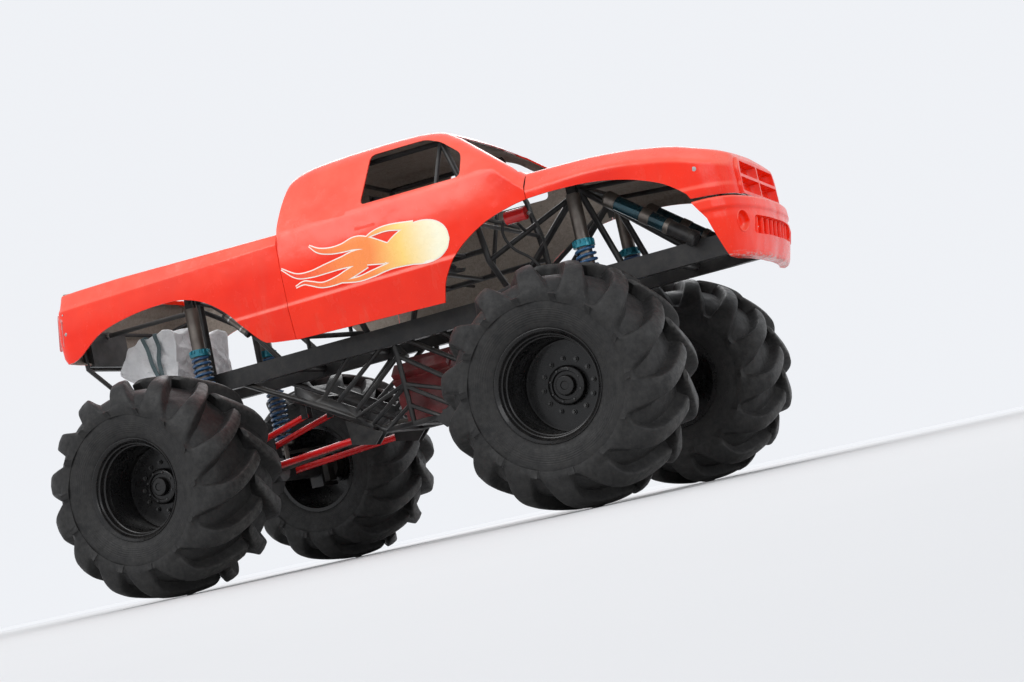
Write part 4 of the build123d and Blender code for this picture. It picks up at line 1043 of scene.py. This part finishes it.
def make_clip():
    rows = spline(CLIP_ROWS, 66)
    rows[0] = CLIP_ROWS[0]
    sections = [clip_section(row) for row in rows if row[0] < NOSE_X - 0.030]
    end = np.array(CLIP_ROWS[-1])
    for turn in np.linspace(0.0, math.pi / 2, 5):
        end[0] = NOSE_X - NOSE_ROUND * (1 - math.sin(turn))
        sections.append(clip_section(end, NOSE_ROUND * (1 - math.cos(turn))))
    bag = Bag()
    bag.grid(sections)
    bag.cap(range(len(bag.points) - len(sections[-1]), len(bag.points)))
    before = [(CAB_FRONT_X - 0.10, 1.4), (CAB_FRONT_X - 0.10, 2.224)]
    cutters = [arch_cutter(before, CLIP_ARCH, 30, [(NOSE_X + 0.15, 1.896), (NOSE_X + 0.15, 1.40)])]
    mouths = []
    for corners in GRILLE:
        mouths += [rounded_outline([(s * y, z) for y, z in corners], 0.016, 4) for s in (-1, 1)]
    cutters += [prism(mouth, NOSE_X - 0.14, NOSE_X + 0.05, axis="x") for mouth in mouths]
    shell_piece("clip_skin", bag, (2.0, 0, 2.0), cutters, "front_clip")
    pockets = Bag()
    for mouth in mouths:
        flat = np.array(mouth)
        middle = flat.mean(axis=0)
        rings = []
        for depth, share in POCKET_RINGS:
            rings.append([(NOSE_X - depth, *(middle + (spot - middle) * share)) for spot in flat])
        pockets.grid(rings, wrap=True)
        pockets.cap(range(len(pockets.points) - len(flat), len(pockets.points)))
    tray = pockets.make("grille_pockets")
    face_out(tray, (2.0, 0, 2.05))
    ready(tray, "red_body", RED)
    inner = [spot for spot in clip_section(CLIP_ROWS[0], 0.015) if spot[2] > 2.235]
    joint = Bag()
    joint.grid([[(x + ahead, y, z) for x, y, z in inner] for ahead in (-0.030, 0.0, 0.030)])
    ready(joint.make("clip_joint"), "red_body", PLASTIC)


# Bumper
FOG_Y = 0.650
FOG_Z = 1.694
FOG_R = 0.070
FOG_CUP = (
    # ahead of the skin, radius
    (-0.004, 0.0790), (0.0015, 0.0780), (0.0040, 0.0750), (0.0030, 0.0715), (-0.002, 0.0690),
    (-0.014, 0.0670), (-0.040, 0.062), (-0.049, 0.052), (-0.052, 0.036), (-0.052, 0.0005),
)
LIP_R = 0.0665
MOUTH = ((-0.500, 1.612), (0.500, 1.612), (0.486, 1.738), (-0.486, 1.738))
TRAY_RINGS = (
    # behind the skin, share of the mouth's width, share of its height
    (0.003, 1.0, 1.0), (0.016, 0.998, 0.98), (0.040, 0.990, 0.93), (0.047, 0.980, 0.86), (0.048, 0.90, 0.02),
)
BACK_CUT = (
    # what is taken off behind the bumper's ends: along, height
    (NOSE_X - 0.40, 1.95), (NOSE_X - 0.298, 1.90), (NOSE_X - 0.200, 1.740), (NOSE_X - 0.128, 1.450),
    (NOSE_X - 0.128, 1.3), (NOSE_X - 0.5, 1.3),
)
RIB_R = 0.017


def bumper_face(plan, y, z):
    """How far ahead the bumper's skin lies at a place across and a height."""
    order = np.argsort(plan[:, 1])
    drawn = np.interp(z, (1.500, 1.700, 1.782, 1.800), (0.060, 0.012, 0.014, 0.0))
    return float(np.interp(y, plan[order, 1], plan[order, 0]) - drawn)


def fog_place(plan, side):
    """Where a fog lamp sits: its own Y axis looks out of the bumper."""
    face = Vector((bumper_face(plan, side * FOG_Y, FOG_Z), side * FOG_Y, FOG_Z))
    out = Vector((0.94, side * 0.33, -0.10))
    return Matrix.Translation(face) @ Vector((0, 1, 0)).rotation_difference(out).to_matrix().to_4x4()


def make_fog_cups(plan):
    """Empty lamp cups; the rings of their lips follow the bumper's skin."""
    cups = Bag()
    for s in (-1, 1):
        place = fog_place(plan, s)
        rings = []
        for ahead, radius in FOG_CUP:
            circle = []
            for a in round_steps(48):
                spot = place @ Vector((radius * math.cos(a), ahead, radius * math.sin(a)))
                if radius > LIP_R:
                    spot.x = bumper_face(plan, spot.y, spot.z) + ahead
                circle.append(tuple(spot))
            rings.append(circle)
        cups.grid(rings, wrap=True)
    ready(cups.make("fog_cups", 60.0), "red_body", RED)


def make_recess(plan, mouth):
    """The closed back of the lower mouth, with upright ribs in it."""
    tray = Bag()
    edge = even(mouth + [mouth[0]], 161)[:-1]
    middle = edge.mean(axis=0)
    rings = []
    for depth, wide, tall in TRAY_RINGS:
        spots = middle + (edge - middle) * (wide, tall)
        rings.append([(bumper_face(plan, y, z) - depth, y, z) for y, z in spots])
    tray.grid(rings, wrap=True)
    low, high = MOUTH[0][1], MOUTH[2][1]
    for y in np.linspace(-0.400, 0.400, 8):
        foot = (bumper_face(plan, y, low) - 2 * RIB_R, y, low + 0.003)
        head = (bumper_face(plan, y, high) - 2 * RIB_R, y, high - 0.003)
        tray.drum(foot, head, [(0, RIB_R), (1, RIB_R)], 16)
    ready(tray.make("bumper_recess", 50.0), "red_body", RED)


def make_bumper():
    plan = both_sides(spline([
        (NOSE_X - 0.300, BODY_HALF - 0.005), (NOSE_X - 0.150, BODY_HALF - 0.035),
        (NOSE_X - 0.030, BODY_HALF - 0.155), (NOSE_X + 0.040, BODY_HALF - 0.400),
        (NOSE_X + 0.074, BODY_HALF - 0.700), (NOSE_X + 0.075, 0.0),
    ], 70))
    section = softened([
        # drawn in, height
        (0.030, 1.878), (0.002, 1.868), (0.0, 1.800), (0.014, 1.782), (0.012, 1.700), (0.060, 1.500),
        (0.078, 1.464), (0.150, 1.462),
    ], (0.010, 0.008, 0.010, 0.08, 0.06, 0.02), (2, 5, 2, 5, 10, 2, 5), 5)
    rows = []
    for (x, y), (nx, ny) in zip(plan, inward_of(plan)):
        rows.append([(x + nx * drawn, y + ny * drawn, z) for drawn, z in section])
    bag = Bag()
    bag.grid(rows)
    cutters = [prism(BACK_CUT, -CUT_HALF, CUT_HALF)]
    ring = [(FOG_R * math.cos(a), FOG_R * math.sin(a)) for a in round_steps(40)]
    for s in (-1, 1):
        plug = prism(ring, -0.09, 0.09)
        plug.data.transform(fog_place(plan, s))
        cutters.append(plug)
    mouth = rounded_outline(MOUTH, 0.045, 6)
    cutters.append(prism(mouth, NOSE_X - 0.2, NOSE_X + 0.2, axis="x"))
    shell_piece("bumper_skin", bag, (NOSE_X - 0.3, 0, 1.7), cutters, "bumper")
    make_fog_cups(plan)
    make_recess(plan, mouth)


make_cab()
make_bed()
make_clip()
make_bumper()
make_lamps()


# Side artwork: a pale round head with flames trailing behind it, each with a cream edge
FLAME_EDGE = 0.009
BAND_ROWS = 48
BAND_COLUMNS = 7
FLAMES = (
    # line along the side, half widths
    (((0.50, 2.280), (0.30, 2.318), (0.175, 2.314), (0.085, 2.290)), (0.030, 0.018, 0.013, 0.001)),
    (((0.60, 2.020), (0.33, 2.044), (0.21, 2.038), (0.10, 2.024), (-0.045, 2.014), (-0.25, 2.044)),
     (0.030, 0.026, 0.020, 0.020, 0.013, 0.001)),
    (((0.06, 2.110), (-0.095, 2.072), (-0.205, 2.050), (-0.335, 2.047), (-0.434, 2.083), (-0.494, 2.103),
      (-0.568, 2.089)),
     (0.030, 0.034, 0.026, 0.016, 0.012, 0.009, 0.002)),
    (((0.22, 2.130), (0.0, 2.168), (-0.135, 2.167), (-0.286, 2.158), (-0.418, 2.151), (-0.544, 2.170),
      (-0.661, 2.253)),
     (0.058, 0.056, 0.040, 0.030, 0.020, 0.013, 0.001)),
    (((0.28, 2.150), (0.10, 2.250), (0.0, 2.280), (-0.11, 2.273), (-0.215, 2.279), (-0.316, 2.308),
      (-0.389, 2.364)),
     (0.040, 0.046, 0.044, 0.028, 0.020, 0.014, 0.001)),
    (((0.762, 2.111), (0.741, 2.115), (0.683, 2.126), (0.595, 2.139), (0.486, 2.146), (0.371, 2.142),
      (0.255, 2.130), (0.150, 2.130)),
     (0.0, 0.066, 0.122, 0.150, 0.148, 0.118, 0.070, 0.020)),
)


def make_artwork():
    for hand, s in (("left", 1), ("right", -1)):
        bag = Bag()
        for n, (line, widths) in enumerate(FLAMES):
            add_band(bag, line, [w + FLAME_EDGE for w in widths], s, 0.0010 + 0.0002 * n, 0)
            add_band(bag, line, widths, s, 0.0026 + 0.0002 * n, 1)
        ready(bag.make(f"flames_{hand}"), "red_body", CREAM, FLAME)


make_artwork()


# Shock springs and collars
def helix(x, y, low, high, radius, turns, steps=18):
    count = int(turns * steps)
    points = []
    for i in range(count + 1):
        t = i / count
        angle = 2 * math.pi * turns * t
        points.append((x + radius * math.cos(angle), y + radius * math.sin(angle), low + (high - low) * t))
    return points


def make_springs():
    curve = round_curve("coil_springs", WIRE_R, 3)
    curve.use_fill_caps = True
    for x, y in SHOCK_PLACES:
        points = helix(x, y, SPRING_LOW_Z + WIRE_R, COLLAR_Z - WIRE_R, SPRING_R, SPRING_TURNS)
        add_run(curve, "POLY", points).use_smooth = True
    springs = ready(new_object("coil_springs", curve), "spring_blue", SPRING_BLUE)
    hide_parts("springs")


def make_collars():
    """Turned collars on the shocks, each with a ring of upright teeth."""
    bag = Bag()
    tall = COLLAR_TALL
    profile = [
        # height, radius
        (0.0, 0.057), (0.0, 0.078), (0.004, 0.082), (tall * 0.4, 0.082), (tall * 0.42, 0.074), (tall, 0.072),
        (tall, 0.057),
    ]
    for x, y in SHOCK_PLACES:
        place = Matrix.Translation((x, y, COLLAR_Z)) @ Matrix.Rotation(math.pi / 2, 4, "X")
        bag.turned(profile, 48, place=place)
        for angle in round_steps(COLLAR_TEETH):
            cx, cy = x + TOOTH_RING * math.cos(angle), y + TOOTH_RING * math.sin(angle)
            low, high = (cx, cy, COLLAR_Z + 0.010), (cx, cy, COLLAR_Z + tall - 0.004)
            bag.bolt(low, high, 0.0065, 0.004, 8, straight=0.9)
    collars = bag.make("notched_collars", 35.0)
    ready(collars, "teal", TEAL)
    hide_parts("shock_collars")


make_springs()
make_collars()


FRONT_BANDS = (
    # share along, radius, kind: 0 grey collar, 1 teal, 2 black
    (0.00, 0.052, 0), (0.02, 0.060, 0), (0.12, 0.060, 0), (0.125, 0.0545, 1), (0.40, 0.0545, 1),
    (0.405, 0.0585, 0), (0.50, 0.0585, 0), (0.505, 0.0545, 1), (0.66, 0.0545, 1), (0.665, 0.059, 0),
    (0.71, 0.059, 0), (0.715, 0.0545, 2), (0.93, 0.0545, 2), (0.94, 0.060, 2), (0.985, 0.060, 2),
    (1.00, 0.050, 2),
)
REAR_BANDS = (
    # share along from, to, radius, kind: 0 grey body, 2 black end, 3 steel clamp
    (0, 0.08, 0.030, 2), (0.08, 0.90, 0.0285, 0), (0.90, 1.0, 0.030, 2), (0.22, 0.27, 0.030, 3),
    (0.70, 0.75, 0.030, 3),
)


def make_reservoirs():
    """Banded gas reservoirs: long ones beside the front shocks, short clamped ones on the rear braces."""
    bag = Bag()
    x = SHOCK_PLACES[-1][0]
    for s in (-1, 1):
        start = np.array((x + 0.228, s * 0.465, 2.153))
        way = np.array((x + 0.819, s * 0.465, 1.679)) - start
        for (a, low, kind), (b, high, _) in zip(FRONT_BANDS, FRONT_BANDS[1:]):
            bag.drum(start + way * a, start + way * b, [(0, low), (1, high)], 40, kind=kind)
    x = SHOCK_PLACES[0][0]
    for s in (-1, 1):
        start = np.array((x + 0.256, s * 0.4315, 2.129))
        way = np.array((x + 0.449, s * 0.4315, 1.918)) - start
        for a, b, radius, kind in REAR_BANDS:
            bag.drum(start + way * a, start + way * b, [(0, radius), (1, radius)], 32, kind=kind)
    obj = bag.make("banded_reservoirs", 30.0)
    ready(obj, "teal", SHOCK_GREY, DEEP_TEAL, FRAME_BLACK, STEEL)
    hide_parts("reservoirs")


make_reservoirs()


# Hoses: curves with the same routes as the plain ones of the CAD
def hose(name, points, diameter):
    curve = round_curve(name, diameter / 2, 4)
    curve.resolution_u = 12
    run = add_run(curve, "NURBS", points)
    run.order_u = 3
    run.use_endpoint_u = True
    return ready(new_object(name, curve), "hose_black", HOSE_BLACK)


CELL_Y = -0.622
CELL_Z = 2.185
CELL_X = FRONT_X - 0.390
BACK_HOSE = (
    (CELL_X - 0.094, CELL_Y, CELL_Z), (CELL_X - 0.130, CELL_Y, CELL_Z - 0.045),
    (CELL_X - 0.140, CELL_Y + 0.025, 2.050), (CELL_X - 0.090, -0.560, 1.950), (CELL_X, -0.500, 1.880),
    (CELL_X + 0.060, -0.450, 1.760), (CELL_X + 0.060, -0.420, 1.650),
)
AHEAD_HOSE = (
    (CELL_X + 0.096, CELL_Y, CELL_Z), (CELL_X + 0.130, CELL_Y, CELL_Z - 0.040),
    (CELL_X + 0.140, -0.560, 2.040), (CELL_X + 0.120, -0.480, 1.960), (CELL_X + 0.100, -0.420, 1.760),
    (CELL_X + 0.130, -0.420, 1.640),
)
WATER_HOSE = (
    (TAIL_X + 0.125, -0.300, 2.262), (-2.480, -0.300, 2.262), (-1.900, -0.290, 2.254),
    (-1.790, -0.290, 2.215), (-1.300, -0.270, 1.880), (-0.700, -0.180, 1.760), (-0.420, -0.090, 1.720),
    (-0.250, -0.030, 1.560), (-0.215, -0.020, 1.458),
)
HOSE_RUNS = (
    # name, route, diameter, length
    ("hose_back", BACK_HOSE, 0.022, 0.62),
    ("hose_ahead", AHEAD_HOSE, 0.022, 0.62),
    ("hose_water", WATER_HOSE, 0.040, 2.98),
)
for name, route, diameter, length in HOSE_RUNS:
    line = hose(name, route, diameter)
    if route is BACK_HOSE:
        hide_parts("hoses")


# Load cover: one sheet drawn round the load, open underneath
FOLDS = (
    # direction across the folds, distance between them, height
    ((0.9, 0.3, 0.35), 0.43, 0.046), ((0.2, 1.0, -0.5), 0.37, 0.034), ((-0.6, 0.5, 0.8), 0.26, 0.032),
    ((0.9, -0.6, 0.5), 0.17, 0.018), ((0.3, 0.5, 1.0), 0.12, 0.009), ((1.0, 0.2, -0.7), 0.085, 0.004),
)
DECK_Z = 1.690
LOAD_X = -2.300
LOAD_Z = 1.760
COVER_SIDE = (
    # the cover seen from its side: along, height
    (-2.628, DECK_Z + 0.002), (-2.645, 1.800), (-2.772, 1.935), (-2.600, 2.100), (-2.440, 2.206),
    (-2.250, 2.188), (-2.160, 2.216), (-2.045, 2.206), (-2.035, 1.840), (-2.070, DECK_Z + 0.002),
)
STRAP_CORNERS = ((-0.019, 0.0), (-0.019, 0.005), (0.019, 0.005), (0.019, 0.0))


def crumple(spot):
    """Sharp straight folds in several directions."""
    warp = 0.30 * noise.noise(Vector(spot) * 1.9)
    total = 0.0
    for n, (direction, gap, high) in enumerate(FOLDS):
        t = sum(a * b for a, b in zip(spot, direction)) / gap + warp + 0.37 * n
        total += high * 2 * abs(t - math.floor(t + 0.5))
    return total


def make_tarp():
    outline = softened(COVER_SIDE, [0.03] * 8, [10, 14, 16, 14, 14, 12, 12, 24, 12], 3)
    last = len(outline) - 1
    # share of the outline, distance from the middle: one side, the top, the other side
    sides = [(s, 0.428 - 0.030 * s ** 8) for s in np.linspace(0.04, 0.97, 30)] + [(0.99, 0.390)]
    stations = [(s, -y) for s, y in sides]
    stations += [(1.0, y) for y in np.linspace(-0.372, 0.372, 70)]
    stations += sides[::-1]
    rows = []
    for share, y in stations:
        row = []
        for i, (x, z) in enumerate(outline):
            px = LOAD_X + (x - LOAD_X) * share
            pz = DECK_Z + (z - DECK_Z) * share
            edge = min(1.0, min(i, last - i) / 6)
            deep = crumple((px, y, pz)) * edge
            on_side = 1 - share ** 6
            out = np.array([px - LOAD_X, pz - LOAD_Z])
            out /= max(np.linalg.norm(out), 1e-6)
            inward = deep * (1 - on_side)
            py = y - math.copysign(1.10 * deep * on_side, y)
            row.append((px - out[0] * inward, py, max(DECK_Z, pz - out[1] * inward)))
        rows.append(row)
    bag = Bag()
    bag.grid(rows)
    obj = bag.make("load_cover", 16.0)
    face_out(obj, (-2.3, 0, 1.9))
    ready(obj, "tarp_silver", TARP_SILVER)
    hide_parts("tarp")
    straps = make_straps(np.array(rows), outline)


def make_straps(rows, outline):
    """Two flat straps drawn over the load from side to side."""
    bag = Bag()
    tops = [i for i, (_, z) in enumerate(outline) if z >= 2.1]
    for at_x in (-2.400, -2.260):
        column = min(tops, key=lambda i: abs(outline[i][0] - at_x))
        line = rows[4:-4, column]
        out = line - (LOAD_X, 0.0, 1.80)
        out /= np.linalg.norm(out, axis=1)[:, None]
        line = line + out * 0.024
        for _ in range(10):
            line[1:-1] = (line[:-2] + line[1:-1] + line[2:]) / 3
        along = np.gradient(line, axis=0)
        across = np.cross(along, out)
        across /= np.linalg.norm(across, axis=1)[:, None]
        webbing = [[p + a * u + o * v for u, v in STRAP_CORNERS] for p, a, o in zip(line, across, out)]
        bag.grid(webbing, wrap=True)
    straps = bag.make("load_straps")
    return ready(straps, "tarp_silver", WEBBING)


make_tarp()


# Seat: a thin bucket with three stuffed pads
def cushion(bag, centre, along, up, half, grooves):
    """A rounded slab, fuller in the middle, with sewn grooves; half holds its three half sizes."""
    centre, along, up = Vector(centre), Vector(along).normalized(), Vector(up).normalized()
    across = along.cross(up)
    for sign in (1, -1):
        rows = []
        for u in np.linspace(-1, 1, 33):
            row = []
            for v in np.linspace(-1, 1, 41):
                thick = half[2] * ((1 - abs(u) ** 5) * (1 - abs(v) ** 5)) ** 0.38
                if sign > 0:
                    thick *= 1 - 0.28 * abs(math.cos(math.pi * v * grooves / 2)) ** 30
                a = half[0] * u * math.sqrt(1 - 0.18 * v * v)
                b = half[1] * v * math.sqrt(1 - 0.18 * u * u)
                row.append(tuple(centre + along * a + across * b + up * (sign * thick)))
            rows.append(row)
        bag.grid(rows, flip=sign < 0)


SEAT_SPINE = ((0.335, 2.036), (-0.122, 2.032), (-0.207, 2.655), (-0.211, 2.785))
LIP_SHARES = (0.0, 0.1, 0.3, 0.5, 0.78, 0.86, 1.0)
LIP_HEIGHTS = (0.030, 0.065, 0.080, 0.075, 0.045, 0.012, 0.006)


def make_seat():
    spine = softened(SEAT_SPINE, [0.09, 0.03], [16, 24, 8], 8)
    rows = []
    for i, ((x, z), (tx, tz)) in enumerate(zip(spine, headings(spine))):
        half = np.interp(z, (2.52, 2.60, 2.66, 2.785), (0.232, 0.205, 0.135, 0.112))
        lip = np.interp(i / (len(spine) - 1), LIP_SHARES, LIP_HEIGHTS)
        row = []
        for s in np.linspace(-1, 1, 41):
            rise = lip * (max(0.0, abs(s) - 0.80) / 0.20) ** 2
            row.append((x + tz * rise, half * s, z - tx * rise))
        rows.append(row)
    bag = Bag()
    bag.grid(rows)
    shell = bag.make("seat_bucket")
    face_out(shell, (0.15, 0, 2.35))
    dress(shell, PLASTIC, PLASTIC)
    thicken(shell, 0.004)
    ready(shell, "seat_black", PLASTIC, PLASTIC)
    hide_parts("seat")
    pads = Bag()
    # middle, direction along, direction of the thickness, half sizes, grooves: base, back and head
    cushion(pads, (0.110, 0, 2.082), (1, 0, 0), (0, 0, 1), (0.205, 0.172, 0.038), 4)
    cushion(pads, (-0.1325, 0, 2.375), (-0.135, 0, 0.991), (0.991, 0, 0.135), (0.210, 0.172, 0.026), 4)
    cushion(pads, (-0.1775, 0, 2.715), (-0.03, 0, 1), (1, 0, 0.03), (0.062, 0.100, 0.024), 2)
    stuffed = pads.make("seat_pads", 50.0)
    ready(stuffed, "seat_black", SEAT_CLOTH)


make_seat()


# Bolts that show on the shell, and the grips at the hoses' ends
TAIL_BOLT_X = -2.765


def make_fasteners():
    bag = Bag()
    tail = tail_half(TAIL_BOLT_X) - BODY_HALF
    for s in (-1, 1):
        # place, direction, half size
        spots = []
        for z in (2.26, 2.42):
            spots.append(((TAIL_BOLT_X, s * (side_half(z) + tail), z), (-0.25, s, 0.03), 0.0085))
        spots.append(((2.622, s * 0.811, 2.103), (0.32, s, 0.0), 0.0095))
        for place, out, size in spots:
            place, out = Vector(place), Vector(out).normalized()
            bag.bolt(place - out * 0.002, place + out * 0.0030, 1.75 * size, 1.6 * size, 20)
            bag.bolt(place + out * 0.0025, place + out * (0.003 + 0.7 * size), size, 0.82 * size, 6)
    for _, route, diameter, _ in HOSE_RUNS:
        for end, inner in ((route[0], route[1]), (route[-1], route[-2])):
            end = Vector(end)
            way = (Vector(inner) - end).normalized()
            grip = diameter / 2 + 0.004
            bag.bolt(end + way * 0.002, end + way * 0.024, grip, grip - 0.002, 6, straight=0.85)
    ready(bag.make("small_fasteners", 30.0), "bright_steel", STEEL)


make_fasteners()


# Floor, light and camera
FLOOR_HALF = 200.0


def area_light(name, place, target, size, power):
    data = bpy.data.lights.new(name, "AREA")
    data.shape = "RECTANGLE"
    data.size, data.size_y = size
    data.energy = power
    obj = new_object(name, data)
    obj.location = place
    obj.rotation_euler = (Vector(target) - Vector(place)).to_track_quat("-Z", "Y").to_euler()


def make_stage():
    bag = Bag()
    steps = np.linspace(-FLOOR_HALF, FLOOR_HALF, 9)
    bag.grid([[(x, y, 0.0) for y in steps] for x in steps], flip=True)
    floor = bag.make("floor")
    dress(floor, GROUND)
    bpy.context.scene.view_settings.view_transform = "Standard"
    world = bpy.data.worlds.new("pale_sky")
    world.use_nodes = True
    background = world.node_tree.nodes["Background"]
    background.inputs["Color"].default_value = (*SKY, 1)
    background.inputs["Strength"].default_value = SKY_STRENGTH
    bpy.context.scene.world = world
    area_light("key", (-3.5, -9.0, 8.5), (0, 0, 1.6), (7.0, 5.0), 420)
    area_light("front_fill", (9.5, -4.5, 5.0), (0.5, 0, 1.8), (6.0, 4.0), 180)
    area_light("back_rim", (-4.0, 10.0, 8.0), (0, 3.0, 0.5), (10.0, 6.0), 460)


def make_camera():
    """The photo's own view, as solved from both near wheels."""
    right = Vector((0.89041, 0.40300, -0.21157))
    up = Vector((0.23684, -0.01329, 0.97146))
    forward = Vector((-0.38868, 0.91511, 0.10728))
    data = bpy.data.cameras.new("camera")
    data.lens = 55.93
    data.sensor_width = 36.0
    data.clip_end = 300
    turn = Matrix((right, up, -forward)).transposed().to_4x4()
    camera = new_object("camera", data)
    camera.matrix_world = Matrix.Translation((5.4597, -11.2304, 0.06)) @ turn
    bpy.context.scene.camera = camera


make_stage()
make_camera()

bpy.context.view_layer.update()
